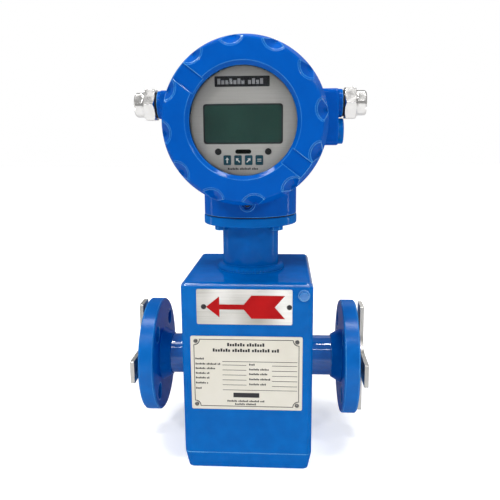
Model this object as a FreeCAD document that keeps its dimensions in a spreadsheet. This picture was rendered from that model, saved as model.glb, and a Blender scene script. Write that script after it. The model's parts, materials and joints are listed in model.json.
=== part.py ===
import FreeCAD, Part
import math
import os

import Sketcher

# Electromagnetic flow meter with a flanged sensor and a round transmitter on top.
# Millimetres. The origin is the centre of the flow bore. X runs along the pipe,
# -Y is the front with the display, +Z is up.

SIZES = [
    ("face_to_face", 206.6, "length over the two liner faces"),
    ("bore_radius", 12.5, "flow bore inside the liner"),
    ("tube_inner_radius", 16.0, "measuring tube, inside"),
    ("tube_outer_radius", 19.0, "measuring tube, outside"),
    ("liner_lip", 1.9, "liner turned over the raised face"),
    ("liner_lip_radius", 24.0, "outer radius of that lip"),
    ("raised_face", 1.8, "height of the flange's raised face"),
    ("raised_face_radius", 25.4, "radius of the raised face"),
    ("flange_radius", 54.0, "flange rim"),
    ("flange_thickness", 13.7, "flange rim, thickness"),
    ("flange_edge", 1.0, "chamfer on the rim"),
    ("hub_length", 9.0, "tapered hub behind the rim"),
    ("hub_large_radius", 25.7, "hub at the rim"),
    ("hub_small_radius", 20.5, "hub at the pipe"),
    ("flange_hole_radius", 7.95, "flange bolt hole"),
    ("flange_pitch_radius", 39.7, "flange bolt circle"),
    ("flange_hole_count", 4, "flange bolt holes"),
    ("earth_plate_thickness", 3.6, "earthing plate"),
    ("earth_lobe_reach", 52.0, "lobe tip from the bore axis"),
    ("earth_lobe_half_width", 10.5, "lobe, half width"),
    ("earth_lobe_root", 14.0, "radius of the hollow curve between two lobes"),
    ("earth_lobe_corner", 1.2, "rounding of a lobe's corners"),
    ("box_width", 113.5, "sensor housing along X"),
    ("box_depth", 131.0, "sensor housing along Y"),
    ("box_top", 88.0, "top of the sensor housing"),
    ("box_seam", 68.5, "weld seam to the base pan, below the bore axis"),
    ("box_bottom", 84.0, "underside of the base pan, below the bore axis"),
    ("box_wall", 3.0, "sheet thickness of the housing"),
    ("box_corner", 5.5, "upright edge radius"),
    ("box_top_edge", 4.5, "radius along the top edges"),
    ("pan_inset", 2.8, "how far the base pan draws in at its underside"),
    ("yoke_half", 44.0, "inside of the magnet yoke, half width and half height"),
    ("yoke_thickness", 3.0, "magnet yoke strip"),
    ("yoke_width", 40.0, "magnet yoke along the pipe"),
    ("yoke_corner", 8.0, "bend inside the yoke's corners"),
    ("shoe_thickness", 3.5, "pole shoe round the tube"),
    ("shoe_angle", 100.0, "arc of the pole shoe"),
    ("core_radius", 9.0, "iron core of a coil"),
    ("coil_radius", 25.0, "coil winding, outside"),
    ("coil_gap", 0.4, "room left round the coil"),
    ("electrode_radius", 4.0, "wetted disc of the electrode"),
    ("electrode_stem", 2.0, "electrode stem radius"),
    ("electrode_length", 36.0, "end of the stem from the bore axis"),
    ("bush_radius", 5.0, "insulating bush of the electrode"),
    ("bush_end", 27.0, "outer end of the bush from the bore axis"),
    ("neck_radius", 26.0, "neck tube"),
    ("neck_wall", 3.0, "neck tube wall"),
    ("neck_length", 51.3, "neck with its flange, above the sensor housing"),
    ("weld_width", 5.5, "weld bead at the foot of the neck"),
    ("weld_height", 5.0, "weld bead height"),
    ("weld_round", 4.4, "rounding of the weld bead"),
    ("neck_flange_radius", 43.0, "neck flange"),
    ("neck_flange_thickness", 8.0, "neck flange"),
    ("neck_bolt_circle", 35.0, "bolt circle radius of the neck flange"),
    ("neck_bolt_count", 4, "bolts under the neck flange"),
    ("neck_bolt_radius", 3.0, "bolt thread radius"),
    ("neck_bolt_play", 0.3, "clearance of a bolt in its flange hole"),
    ("neck_bolt_flats", 10.0, "width over the flats of the bolt head"),
    ("neck_bolt_head", 4.0, "bolt head height"),
    ("neck_bolt_grip", 9.0, "thread length in the transmitter base"),
    ("gasket_thickness", 1.0, "gasket under the transmitter"),
    ("gasket_setback", 1.5, "gasket edge behind the flange edge"),
    ("column_height", 19.2, "upright base of the transmitter, below the barrel"),
    ("column_radius", 42.6, "upright base of the transmitter"),
    ("column_wall", 6.0, "wall of that base"),
    ("column_floor", 12.0, "floor of that base"),
    ("wire_room_top", 40.0, "top of the room in that base, below the transmitter axis"),
    ("wire_hole_radius", 15.0, "hole for the sensor wires in the floor"),
    ("barrel_radius", 61.0, "round transmitter housing"),
    ("barrel_half", 64.0, "half length of the housing between the cover shoulders"),
    ("chamber_radius", 50.0, "both chambers inside the housing"),
    ("spigot_radius", 56.0, "threaded end of the housing"),
    ("spigot_length", 12.0, "threaded end beyond the shoulder"),
    ("partition_front", 16.0, "front face of the wall between the chambers, in front of the axis"),
    ("partition_back", 12.0, "rear face of that wall, in front of the axis"),
    ("shoulder_edge", 2.0, "rounding of the housing's shoulders"),
    ("running_fit", 0.05, "radial clearance of screwed and turning pieces"),
    ("air_gap", 0.3, "clearance between pieces that move apart"),
    ("cover_length", 25.2, "screw cover from rim to face"),
    ("cover_rim_radius", 66.2, "rim of the screw cover"),
    ("cover_rim_width", 5.7, "rim behind the scallops"),
    ("cover_face_radius", 61.5, "cover at its face"),
    ("cover_edge", 2.0, "rounding of the cover's face edge"),
    ("cover_web", 12.9, "depth of the thread from the rim"),
    ("scallop_count", 12, "finger scallops round a cover"),
    ("scallop_radius", 10.0, "scallop at the face"),
    ("scallop_centre", 66.4, "centre of a scallop from the cover axis"),
    ("scallop_taper", 22.0, "slope of a scallop towards the rim, degrees"),
    ("scallop_edge", 1.1, "broken edge between a scallop and the cover face"),
    ("scallop_edge_slope", 45.0, "slope of that edge, degrees"),
    ("groove_angle", -37.5, "direction of the tool grooves, degrees"),
    ("groove_width", 14.0, "tool groove across the cover face"),
    ("groove_depth", 1.6, "tool groove depth"),
    ("window_radius", 41.5, "window opening"),
    ("window_bevel", 3.0, "bevel round the window"),
    ("window_seat", 6.0, "glass seat behind the cover face"),
    ("glass_radius", 46.2, "window glass"),
    ("glass_thickness", 5.0, "window glass"),
    ("retainer_thickness", 1.6, "ring that holds the glass"),
    ("seal_cord", 1.3, "cover seal, cord radius"),
    ("seal_radius", 57.6, "cover seal, centre of the cord"),
    ("seal_room", 3.2, "depth of the seal's room in the cover rim"),
    ("boss_reach", 78.9, "end of the cable bosses from the axis"),
    ("boss_half_width", 17.0, "cable boss, half width"),
    ("boss_top", 29.7, "top of the cable bosses above the axis"),
    ("boss_bottom", 19.1, "underside of the right boss below the axis"),
    ("boss_corner", 4.0, "cable boss edge radius"),
    ("entry_height", 17.8, "cable entries above the transmitter axis"),
    ("plug_depth", 6.7, "plugged entry below the transmitter axis"),
    ("entry_radius", 10.0, "cable entry thread radius"),
    ("entry_collar_radius", 12.4, "collar round the cable entry"),
    ("entry_collar", 3.8, "collar length"),
    ("lock_rise", 12.2, "cover lock boss above the transmitter's underside"),
    ("lock_boss_radius", 7.0, "cover lock boss"),
    ("lock_boss_stand", 2.0, "cover lock boss in front of the upright base"),
    ("lock_recess_radius", 4.8, "recess round the lock screw"),
    ("lock_recess_depth", 2.0, "recess depth"),
    ("lock_screw_radius", 3.0, "lock screw"),
    ("lock_screw_length", 7.0, "lock screw"),
    ("washer_thickness", 1.8, "seal washer of a cable gland"),
    ("washer_radius", 11.4, "seal washer of a cable gland"),
    ("gland_flats", 27.0, "hexagon of the gland body over its flats"),
    ("gland_hex", 10.2, "hexagon of the gland body, length"),
    ("gland_hex_slope", 30.0, "chamfer of that hexagon's corners, degrees"),
    ("gland_thread", 18.0, "gland thread in the boss, with the collar"),
    ("gland_bore", 6.5, "bore of the gland body"),
    ("gland_neck_radius", 9.6, "threaded end of the gland body"),
    ("gland_neck", 7.0, "length of that end"),
    ("dome_radius", 11.6, "gland nut"),
    ("dome_length", 8.8, "gland nut"),
    ("dome_flats", 21.4, "gland nut over its flats"),
    ("dome_collar", 1.2, "round collar of the gland nut behind its flats"),
    ("dome_opening", 6.0, "cable hole of the gland nut"),
    ("dome_chamfer", 1.8, "chamfer at the gland nut's end"),
    ("gland_seal_radius", 8.2, "rubber seal in the gland"),
    ("gland_seal_length", 5.0, "rubber seal in the gland"),
    ("gland_seal_bore", 5.5, "cable hole of the rubber seal"),
    ("slip_ring_thickness", 0.8, "ring between the seal and the nut"),
    ("plug_head_radius", 11.3, "blanking plug"),
    ("plug_head", 5.2, "blanking plug head"),
    ("plug_thread", 14.0, "blanking plug thread"),
    ("plug_key_flats", 10.0, "hexagon key of the blanking plug"),
    ("plug_key_depth", 4.0, "hexagon key of the blanking plug"),
    ("bezel_front", 73.5, "display plate in front of the axis"),
    ("bezel_thickness", 1.5, "display plate"),
    ("bezel_radius", 49.0, "display plate"),
    ("lcd_width", 62.8, "display window"),
    ("lcd_height", 31.0, "display window"),
    ("lcd_centre_x", -0.8, "display window centre"),
    ("lcd_centre_z", -1.7, "display window centre, from the transmitter axis"),
    ("lcd_corner", 2.4, "corner of the display window"),
    ("lcd_border", 2.5, "module beyond the display window"),
    ("lcd_recess", 0.5, "module face behind the plate's face"),
    ("display_board_front", 65.0, "display board in front of the axis"),
    ("board_thickness", 1.6, "circuit boards"),
    ("board_radius", 46.0, "circuit boards"),
    ("main_board_front", 36.0, "main board in front of the axis"),
    ("pillar_radius", 3.0, "board pillars"),
    ("pillar_circle", 39.0, "board pillars from the axis"),
    ("bezel_screw_spacing", 39.6, "display plate screws"),
    ("bezel_screw_z", -23.1, "display plate screws, from the transmitter axis"),
    ("bezel_screw_head", 2.6, "display plate screw head radius"),
    ("bezel_screw_rise", 1.0, "display plate screw head above the plate"),
    ("bezel_screw_radius", 1.5, "display plate screw thread radius"),
    ("slot_width", 12.8, "dark slot between the screws"),
    ("slot_height", 3.5, "dark slot between the screws"),
    ("key_width", 5.6, "key cap"),
    ("key_height", 7.2, "key cap"),
    ("key_corner", 0.7, "key cap corner"),
    ("key_pitch", 8.5, "key to key"),
    ("key_centre_z", -29.8, "keys, from the transmitter axis"),
    ("key_stand", 0.7, "key above the display plate"),
    ("key_flange", 0.8, "key flange beyond the cap and its thickness"),
    ("key_travel", 0.5, "how far a key moves"),
    ("terminal_width", 54.0, "terminal block"),
    ("terminal_height", 18.0, "terminal block"),
    ("terminal_depth", 15.0, "terminal block"),
    ("terminal_count", 8, "clamp screws"),
    ("terminal_drop", 18.0, "terminal block below the transmitter axis"),
    ("clamp_radius", 1.9, "clamp screws and wire openings"),
    ("clamp_rise", 3.6, "clamp screws above the middle of the terminal block"),
    ("clamp_recess", 7.5, "depth of the holes that the clamp screws sit in"),
    ("clamp_length", 6.0, "clamp screws"),
    ("wire_drop", 4.5, "wire openings below the middle of the terminal block"),
    ("wire_depth", 6.0, "wire openings"),
    ("arrow_plate_width", 81.6, "flow direction plate"),
    ("arrow_plate_height", 31.0, "flow direction plate"),
    ("arrow_plate_x", -1.8, "flow direction plate centre"),
    ("arrow_plate_drop", 5.2, "flow direction plate below the housing top"),
    ("plate_thickness", 0.8, "sheet plates on the housing"),
    ("plate_corner", 1.5, "corner of the sheet plates"),
    ("arrow_relief", 0.3, "red arrow above its plate"),
    ("arrow_margin", 8.2, "tip of the arrow from the plate's left end"),
    ("arrow_head_length", 11.4, "arrow head"),
    ("arrow_head_half", 9.2, "arrow head, half height"),
    ("arrow_shaft_length", 20.9, "arrow shaft"),
    ("arrow_shaft_half", 2.2, "arrow shaft, half height"),
    ("arrow_flare", 6.4, "slope from the shaft to the tail"),
    ("arrow_tail_length", 28.4, "arrow tail"),
    ("arrow_tail_half", 10.1, "arrow tail, half height"),
    ("arrow_notch", 8.6, "notch in the arrow tail"),
    ("name_plate_width", 96.6, "data plate"),
    ("name_plate_height", 67.2, "data plate"),
    ("name_plate_x", -0.4, "data plate centre"),
    ("plate_gap", 10.7, "between the two plates"),
    ("name_rivet_radius", 1.9, "rivets of the data plate"),
    ("name_rivet_inset", 4.5, "rivets from the data plate's edges"),
    ("arrow_rivet_radius", 2.3, "rivets of the flow direction plate"),
    ("arrow_rivet_spacing", 73.0, "rivets of the flow direction plate, apart"),
    ("rivet_head", 1.2, "rivet heads, height"),
    ("rivet_taper", 0.8, "how far a rivet head draws in"),
    ("earth_screw_inset", 8.0, "earth screw from the right side of the housing"),
    ("earth_screw_drop", 10.2, "earth screw below the housing top"),
    ("earth_screw_flats", 7.0, "earth screw head over its flats"),
    ("earth_screw_head", 3.2, "earth screw head"),
    ("earth_washer_radius", 5.0, "earth washer"),
    ("earth_washer_thickness", 1.2, "earth washer"),
]

ALONG_X, ALONG_Z = 0, 2
CLOSE = 0.05

X_AXIS = FreeCAD.Vector(1, 0, 0)
Z_AXIS = FreeCAD.Vector(0, 0, 1)

# Local +Z points out of the front, to the right, to the left and to the back.
UPRIGHT = FreeCAD.Rotation()
UPSIDE_DOWN = FreeCAD.Rotation(X_AXIS, 180)
TO_FRONT = FreeCAD.Rotation(X_AXIS, 90)
TO_BACK = FreeCAD.Rotation(Z_AXIS, 180) * TO_FRONT
TO_RIGHT = FreeCAD.Rotation(Z_AXIS, 90) * TO_FRONT
TO_LEFT = FreeCAD.Rotation(Z_AXIS, -90) * TO_FRONT

doc = FreeCAD.newDocument("flow_meter")
sheet = doc.addObject("Spreadsheet::Sheet", "sizes")
subparts = []


def fill_sheet():
    for row, (alias, number, meaning) in enumerate(SIZES, start=1):
        sheet.set(f"A{row}", meaning)
        sheet.set(f"B{row}", str(number))
        sheet.setAlias(f"B{row}", alias)
    doc.recompute()


def value(expression):
    """The number that an expression over the sheet gives now."""
    result = sheet.evalExpression(str(expression))
    return float(getattr(result, "Value", result))


def size(alias):
    return float(sheet.get(alias))


def bind(target, path, expression):
    target.setExpression(path, str(expression))


def place(target, rotation=UPRIGHT, x="0", y="0", z="0"):
    target.Placement = FreeCAD.Placement(FreeCAD.Vector(value(x), value(y), value(z)), rotation)
    for axis, expression in (("x", x), ("y", y), ("z", z)):
        if expression != "0":
            bind(target, f".Placement.Base.{axis}", expression)
    return target


def subpart(target, label):
    target.Label = label
    subparts.append(target)
    return target


# Features of a body

def new_body(label, rotation=UPRIGHT, x="0", y="0", z="0"):
    body = doc.addObject("PartDesign::Body", label)
    place(body, rotation, x, y, z)
    return subpart(body, label)


def origin_feature(body, role):
    return next(item for item in body.Origin.OriginFeatures if item.Role == role)


def new_sketch(body, plane="XY_Plane", offset="0"):
    sketch = body.newObject("Sketcher::SketchObject", "Sketch")
    sketch.AttachmentSupport = [(origin_feature(body, plane), "")]
    sketch.MapMode = "FlatFace"
    if offset != "0":
        bind(sketch, ".AttachmentOffset.Base.z", offset)
    return sketch


def hold_point(sketch, geometry, point, u, v):
    """Dimensions a sketch point from the origin, or puts it on an axis."""
    for kind, expression, on_axis in (("DistanceX", u, -2), ("DistanceY", v, -1)):
        if str(expression) == "0":
            sketch.addConstraint(Sketcher.Constraint("PointOnObject", geometry, point, on_axis))
            continue
        rule = Sketcher.Constraint(kind, -1, 1, geometry, point, value(expression))
        index = sketch.addConstraint(rule)
        bind(sketch, f"Constraints[{index}]", expression)


def outline(body, points, plane="XY_Plane", offset="0"):
    """Closed sketch of straight lines through the given corners."""
    sketch = new_sketch(body, plane, offset)
    corners = [FreeCAD.Vector(value(u), value(v), 0) for u, v in points]
    count = len(corners)
    for index in range(count):
        line = Part.LineSegment(corners[index], corners[(index + 1) % count])
        sketch.addGeometry(line, False)
    for index in range(count):
        following = (index + 1) % count
        sketch.addConstraint(Sketcher.Constraint("Coincident", index, 2, following, 1))
    for index, (u, v) in enumerate(points):
        hold_point(sketch, index, 1, u, v)
    return sketch


def add_circle(sketch, u, v, radius):
    centre = FreeCAD.Vector(value(u), value(v), 0)
    index = sketch.addGeometry(Part.Circle(centre, Z_AXIS, value(radius)), False)
    hold_point(sketch, index, 3, u, v)
    rule = sketch.addConstraint(Sketcher.Constraint("Radius", index, value(radius)))
    bind(sketch, f"Constraints[{rule}]", radius)


def circles(body, rounds, plane="XY_Plane", offset="0"):
    """Sketch of circles, each given as centre u, centre v and radius."""
    sketch = new_sketch(body, plane, offset)
    for u, v, radius in rounds:
        add_circle(sketch, u, v, radius)
    return sketch


def rectangle_points(width, height, u="0", v="0"):
    left = f"{u} - ({width}) / 2"
    right = f"{u} + ({width}) / 2"
    low = f"{v} - ({height}) / 2"
    high = f"{v} + ({height}) / 2"
    return [(left, low), (right, low), (right, high), (left, high)]


def hexagon_points(flats):
    """Six corners with two of them on the local X axis."""
    points = []
    for step in range(6):
        reach = f"({flats}) / 2 / cos(30)"
        points.append((f"{reach} * cos({60 * step})", f"{reach} * sin({60 * step})"))
    return points


def outside_hexagon(body, flats, offset):
    """Sketch of everything outside a hexagon, for turning a round piece into a nut."""
    sketch = outline(body, hexagon_points(flats), offset=offset)
    add_circle(sketch, "0", "0", flats)
    return sketch


def add_feature(body, kind, sketch):
    feature = body.newObject(kind, kind.split("::")[1])
    feature.Profile = sketch
    return feature


def pad(body, sketch, length, both_ways=False, backwards=False, taper=None):
    feature = add_feature(body, "PartDesign::Pad", sketch)
    feature.Midplane = both_ways
    feature.Reversed = backwards
    bind(feature, "Length", length)
    if taper:
        bind(feature, "TaperAngle", taper)
    doc.recompute()
    return feature


def cut(body, sketch, length, both_ways=False, backwards=False, taper=None):
    before = body.Shape.Volume
    feature = add_feature(body, "PartDesign::Pocket", sketch)
    feature.Midplane = both_ways
    feature.Reversed = backwards
    bind(feature, "Length", length)
    if taper:
        bind(feature, "TaperAngle", taper)
    doc.recompute()
    assert body.Shape.Volume < before - 1e-3, f"{body.Label}: {feature.Name} cuts nothing"
    return feature


def turn(body, sketch, axis="V_Axis"):
    feature = add_feature(body, "PartDesign::Revolution", sketch)
    feature.ReferenceAxis = (sketch, [axis])
    feature.Angle = 360
    doc.recompute()
    return feature


def turn_out(body, sketch, axis="V_Axis"):
    before = body.Shape.Volume
    feature = add_feature(body, "PartDesign::Groove", sketch)
    feature.ReferenceAxis = (sketch, [axis])
    feature.Angle = 360
    doc.recompute()
    assert body.Shape.Volume < before - 1e-3, f"{body.Label}: {feature.Name} cuts nothing"
    return feature


def repeat_round(body, features, count):
    """Repeats features evenly round the Z axis of the body."""
    pattern = body.newObject("PartDesign::PolarPattern", "PolarPattern")
    pattern.Originals = features
    pattern.Axis = (origin_feature(body, "Z_Axis"), [""])
    pattern.Angle = 360
    bind(pattern, "Occurrences", count)
    body.Tip = pattern
    doc.recompute()
    return pattern


def edges_where(feature, test):
    names = []
    for index, edge in enumerate(feature.Shape.Edges, start=1):
        middle = edge.valueAt((edge.FirstParameter + edge.LastParameter) / 2)
        if test(edge, middle):
            names.append(f"Edge{index}")
    return names


def soften(body, radius, test, kind="PartDesign::Fillet"):
    base = body.Tip
    names = edges_where(base, test)
    assert names, f"{body.Label}: no edge to round"
    feature = body.newObject(kind, kind.split("::")[1])
    feature.Base = (base, names)
    bind(feature, "Size" if kind.endswith("Chamfer") else "Radius", radius)
    doc.recompute()
    return feature


def is_circle(edge, radius):
    return hasattr(edge.Curve, "Radius") and abs(edge.Curve.Radius - radius) < CLOSE


def along(axis, corners):
    """Test for the straight edges along one axis that pass through given corners of the other two."""
    others = [other for other in (0, 1, 2) if other != axis]
    spots = [(value(first), value(second)) for first, second in corners]

    def test(edge, middle):
        if not isinstance(edge.Curve, Part.Line) or abs(edge.Curve.Direction[axis]) < 1 - CLOSE:
            return False
        here = [middle[other] for other in others]
        return any(math.dist(here, spot) < CLOSE for spot in spots)

    return test


# Primitives and booleans

def cylinder(name, radius, height, rotation=UPRIGHT, x="0", y="0", z="0"):
    item = doc.addObject("Part::Cylinder", name)
    bind(item, "Radius", radius)
    bind(item, "Height", height)
    return place(item, rotation, x, y, z)


def box(name, length, width, height, x="0", y="0", z="0"):
    """Block centred on the given point."""
    item = doc.addObject("Part::Box", name)
    bind(item, "Length", length)
    bind(item, "Width", width)
    bind(item, "Height", height)
    return place(
        item, UPRIGHT,
        f"{x} - ({length}) / 2", f"{y} - ({width}) / 2", f"{z} - ({height}) / 2",
    )


def fuse(name, items):
    group = doc.addObject("Part::MultiFuse", name)
    group.Shapes = items
    doc.recompute()
    return group


def subtract(name, base, tool):
    result = doc.addObject("Part::Cut", name)
    result.Base = base
    result.Tool = tool
    doc.recompute()
    return result


def group_of_solids(name, items):
    group = doc.addObject("Part::Compound", name)
    group.Links = items
    doc.recompute()
    return group


# Places that several pieces share, as expressions over the sheet

LINER_FACE = "sizes.face_to_face / 2"
RAISED_FACE = f"({LINER_FACE} - sizes.liner_lip)"
RIM_FRONT = f"({RAISED_FACE} - sizes.raised_face)"
RIM_BACK = f"({RIM_FRONT} - sizes.flange_thickness)"
BOX_FRONT = "sizes.box_depth / 2"
NECK_BORE = "(sizes.neck_radius - sizes.neck_wall)"
NECK_TOP = "(sizes.box_top + sizes.neck_length)"
NECK_FLANGE_UNDER = f"({NECK_TOP} - sizes.neck_flange_thickness)"
BASE_DEPTH = "(sizes.barrel_radius + sizes.column_height)"
HEAD = f"({NECK_TOP} + sizes.gasket_thickness + {BASE_DEPTH})"
LOCK_DROP = f"({BASE_DEPTH} - sizes.lock_rise)"
LOCK_FRONT = "(sizes.column_radius + sizes.lock_boss_stand)"
BOLT_OFFSET = "sizes.neck_bolt_circle * cos(45)"
NECK_BOLT_HOLE = (BOLT_OFFSET, BOLT_OFFSET, "sizes.neck_bolt_radius + sizes.neck_bolt_play")
COVER_RIM = "(sizes.barrel_half + sizes.air_gap)"
COVER_FACE = f"({COVER_RIM} + sizes.cover_length)"
SPIGOT_END = "(sizes.barrel_half + sizes.spigot_length)"
GLASS_FRONT = f"({COVER_FACE} - sizes.window_seat)"
GLASS_BACK = f"({GLASS_FRONT} - sizes.glass_thickness)"
ENTRY_FACE = "(sizes.boss_reach + sizes.entry_collar)"
BEZEL_BACK = "(sizes.bezel_front - sizes.bezel_thickness)"
DISPLAY_GAP = f"({BEZEL_BACK} - sizes.display_board_front)"
ARROW_PLATE_Z = "(sizes.box_top - sizes.arrow_plate_drop - sizes.arrow_plate_height / 2)"
NAME_PLATE_Z = (
    f"({ARROW_PLATE_Z} - sizes.arrow_plate_height / 2 - sizes.plate_gap - sizes.name_plate_height / 2)"
)
KEY_NAMES = ["key_up", "key_down", "key_shift", "key_enter"]
TERMINALS = "sizes.terminal_width / sizes.terminal_count"


def key_x(index):
    return f"sizes.lcd_centre_x + sizes.key_pitch * {index - (len(KEY_NAMES) - 1) / 2}"


def bezel_screw_x(sign):
    return f"sizes.lcd_centre_x {sign} sizes.bezel_screw_spacing / 2"


# Sensor: the wetted tube and its flanges

def measuring_tube():
    body = new_body("measuring_tube")
    profile = [
        (f"-{RAISED_FACE}", "sizes.tube_inner_radius"),
        (RAISED_FACE, "sizes.tube_inner_radius"),
        (RAISED_FACE, "sizes.tube_outer_radius"),
        (f"-{RAISED_FACE}", "sizes.tube_outer_radius"),
    ]
    turn(body, outline(body, profile, "XZ_Plane"), "H_Axis")
    holes = circles(body, [("0", "0", "sizes.bush_radius")], "XZ_Plane")
    cut(body, holes, "4 * sizes.tube_outer_radius", both_ways=True)


def liner():
    """Soft liner of the tube, with a lip turned over each raised face."""
    body = new_body("liner")
    profile = [
        (f"-{LINER_FACE}", "sizes.bore_radius"),
        (LINER_FACE, "sizes.bore_radius"),
        (LINER_FACE, "sizes.liner_lip_radius"),
        (RAISED_FACE, "sizes.liner_lip_radius"),
        (RAISED_FACE, "sizes.tube_inner_radius"),
        (f"-{RAISED_FACE}", "sizes.tube_inner_radius"),
        (f"-{RAISED_FACE}", "sizes.liner_lip_radius"),
        (f"-{LINER_FACE}", "sizes.liner_lip_radius"),
    ]
    turn(body, outline(body, profile, "XZ_Plane"), "H_Axis")
    holes = circles(body, [("0", "0", "sizes.electrode_radius")], "XZ_Plane")
    cut(body, holes, "4 * sizes.tube_outer_radius", both_ways=True)


def flange(label, rotation):
    """Pipe flange with a tapered hub, turned about the local Z axis."""
    body = new_body(label, rotation)
    hub_start = f"({RIM_BACK} - sizes.hub_length)"
    profile = [
        ("sizes.tube_outer_radius", hub_start),
        ("sizes.hub_small_radius", hub_start),
        ("sizes.hub_large_radius", RIM_BACK),
        ("sizes.flange_radius", RIM_BACK),
        ("sizes.flange_radius", RIM_FRONT),
        ("sizes.raised_face_radius", RIM_FRONT),
        ("sizes.raised_face_radius", RAISED_FACE),
        ("sizes.tube_outer_radius", RAISED_FACE),
    ]
    turn(body, outline(body, profile, "XZ_Plane"))
    across = "sizes.flange_pitch_radius * cos(45)"
    hole = circles(body, [(across, across, "sizes.flange_hole_radius")], offset=RIM_FRONT)
    drilled = cut(body, hole, "sizes.flange_thickness")
    repeat_round(body, [drilled], "sizes.flange_hole_count")
    rim = size("flange_radius")
    soften(body, "sizes.flange_edge", lambda edge, at: is_circle(edge, rim), "PartDesign::Chamfer")


def earthing_plate(label, rotation):
    """Sheet with four lobes that reach out between the flange bolts."""
    body = new_body(label, rotation)
    half = "sizes.earth_lobe_half_width"
    reach = "sizes.earth_lobe_reach"
    cross = [
        (reach, f"-{half}"), (reach, half), (half, half), (half, reach),
        (f"-{half}", reach), (f"-{half}", half), (f"-{reach}", half), (f"-{reach}", f"-{half}"),
        (f"-{half}", f"-{half}"), (f"-{half}", f"-{reach}"), (half, f"-{reach}"), (half, f"-{half}"),
    ]
    pad(body, outline(body, cross, offset=LINER_FACE), "sizes.earth_plate_thickness")
    roots = rectangle_points(f"2 * {half}", f"2 * {half}")
    tips = rectangle_points(f"2 * {reach}", f"2 * {half}") + rectangle_points(f"2 * {half}", f"2 * {reach}")
    soften(body, "sizes.earth_lobe_root", along(ALONG_Z, roots))
    soften(body, "sizes.earth_lobe_corner", along(ALONG_Z, tips))
    far_side = f"({LINER_FACE} + sizes.earth_plate_thickness)"
    bore = circles(body, [("0", "0", "sizes.bore_radius")], offset=far_side)
    cut(body, bore, "2 * sizes.earth_plate_thickness")


# Sensor: coils, iron and electrodes inside the housing

def pole_shoe(label, flip):
    """Iron saddle on the tube with the round core that carries the coil."""
    outer = doc.addObject("Part::Cylinder", f"{label}_saddle")
    bind(outer, "Radius", "sizes.tube_outer_radius + sizes.shoe_thickness")
    bind(outer, "Height", "sizes.yoke_width")
    bind(outer, "Angle", "sizes.shoe_angle")
    tilt = FreeCAD.Rotation(Z_AXIS, (180 - value("sizes.shoe_angle")) / 2)
    place(outer, flip * TO_RIGHT * tilt, x="-sizes.yoke_width / 2")
    core = cylinder(f"{label}_core", "sizes.core_radius", "sizes.yoke_half", flip)
    tube = cylinder(
        f"{label}_seat", "sizes.tube_outer_radius", "2 * sizes.yoke_width", TO_RIGHT,
        x="-sizes.yoke_width",
    )
    blank = fuse(f"{label}_blank", [outer, core])
    subpart(subtract(label, blank, tube), label)


def coil(label, flip):
    """Winding round the core, between the saddle and the yoke."""
    body = new_body(label, flip)
    inner = "(sizes.core_radius + sizes.coil_gap)"
    low = "(sizes.tube_outer_radius + sizes.shoe_thickness + sizes.coil_gap)"
    high = "(sizes.yoke_half - sizes.coil_gap)"
    profile = [(inner, low), ("sizes.coil_radius", low), ("sizes.coil_radius", high), (inner, high)]
    turn(body, outline(body, profile, "XZ_Plane"))


def magnet_yoke():
    """Strip of iron bent into a ring round the tube and both coils."""
    body = new_body("magnet_yoke", TO_RIGHT)
    outer = "2 * (sizes.yoke_half + sizes.yoke_thickness)"
    inner = "2 * sizes.yoke_half"
    outside = rectangle_points(outer, outer)
    inside = rectangle_points(inner, inner)
    pad(body, outline(body, outside), "sizes.yoke_width", both_ways=True)
    cut(body, outline(body, inside), "2 * sizes.yoke_width", both_ways=True)
    soften(body, "sizes.yoke_corner", along(ALONG_Z, inside))
    soften(body, "sizes.yoke_corner + sizes.yoke_thickness", along(ALONG_Z, outside))


def electrode(label, rotation):
    body = new_body(label, rotation)
    profile = [
        ("0", "sizes.bore_radius"),
        ("sizes.electrode_radius", "sizes.bore_radius"),
        ("sizes.electrode_radius", "sizes.tube_inner_radius"),
        ("sizes.electrode_stem", "sizes.tube_inner_radius"),
        ("sizes.electrode_stem", "sizes.electrode_length"),
        ("0", "sizes.electrode_length"),
    ]
    turn(body, outline(body, profile, "XZ_Plane"))


def electrode_bushes():
    """One insulating bush round each electrode stem."""
    bushes = []
    length = "sizes.bush_end - sizes.tube_inner_radius"
    for side, rotation in (("-", TO_FRONT), ("", TO_BACK)):
        start = f"{side}sizes.tube_inner_radius"
        name = "front" if side else "rear"
        sleeve = cylinder(f"{name}_sleeve", "sizes.bush_radius", length, rotation, y=start)
        stem = cylinder(f"{name}_stem", "sizes.electrode_stem", length, rotation, y=start)
        bushes.append(subtract(f"{name}_bush", sleeve, stem))
    subpart(group_of_solids("electrode_bushes", bushes), "electrode_bushes")


# Sensor: welded housing and neck

def sensor_housing():
    """Sheet box over the coils, open below, with holes for the tube and the neck."""
    body = new_body("sensor_housing")
    low = "-sizes.box_seam"
    height = "sizes.box_top + sizes.box_seam"
    outside = rectangle_points("sizes.box_width", "sizes.box_depth")
    pad(body, outline(body, outside, offset=low), height)
    soften(body, "sizes.box_corner", along(ALONG_Z, outside))
    top = size("box_top")
    soften(body, "sizes.box_top_edge", lambda edge, at: abs(at.z - top) < CLOSE)
    walls = "2 * sizes.box_wall"
    inside = rectangle_points(f"sizes.box_width - {walls}", f"sizes.box_depth - {walls}")
    cut(body, outline(body, inside, offset=low), f"{height} - sizes.box_wall", backwards=True)
    pipe = circles(body, [("0", "0", "sizes.tube_outer_radius")], "YZ_Plane")
    cut(body, pipe, "2 * sizes.box_width", both_ways=True)
    neck_hole = circles(body, [("0", "0", "sizes.neck_radius")], offset="sizes.box_top")
    cut(body, neck_hole, "2 * sizes.box_wall")


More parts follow.
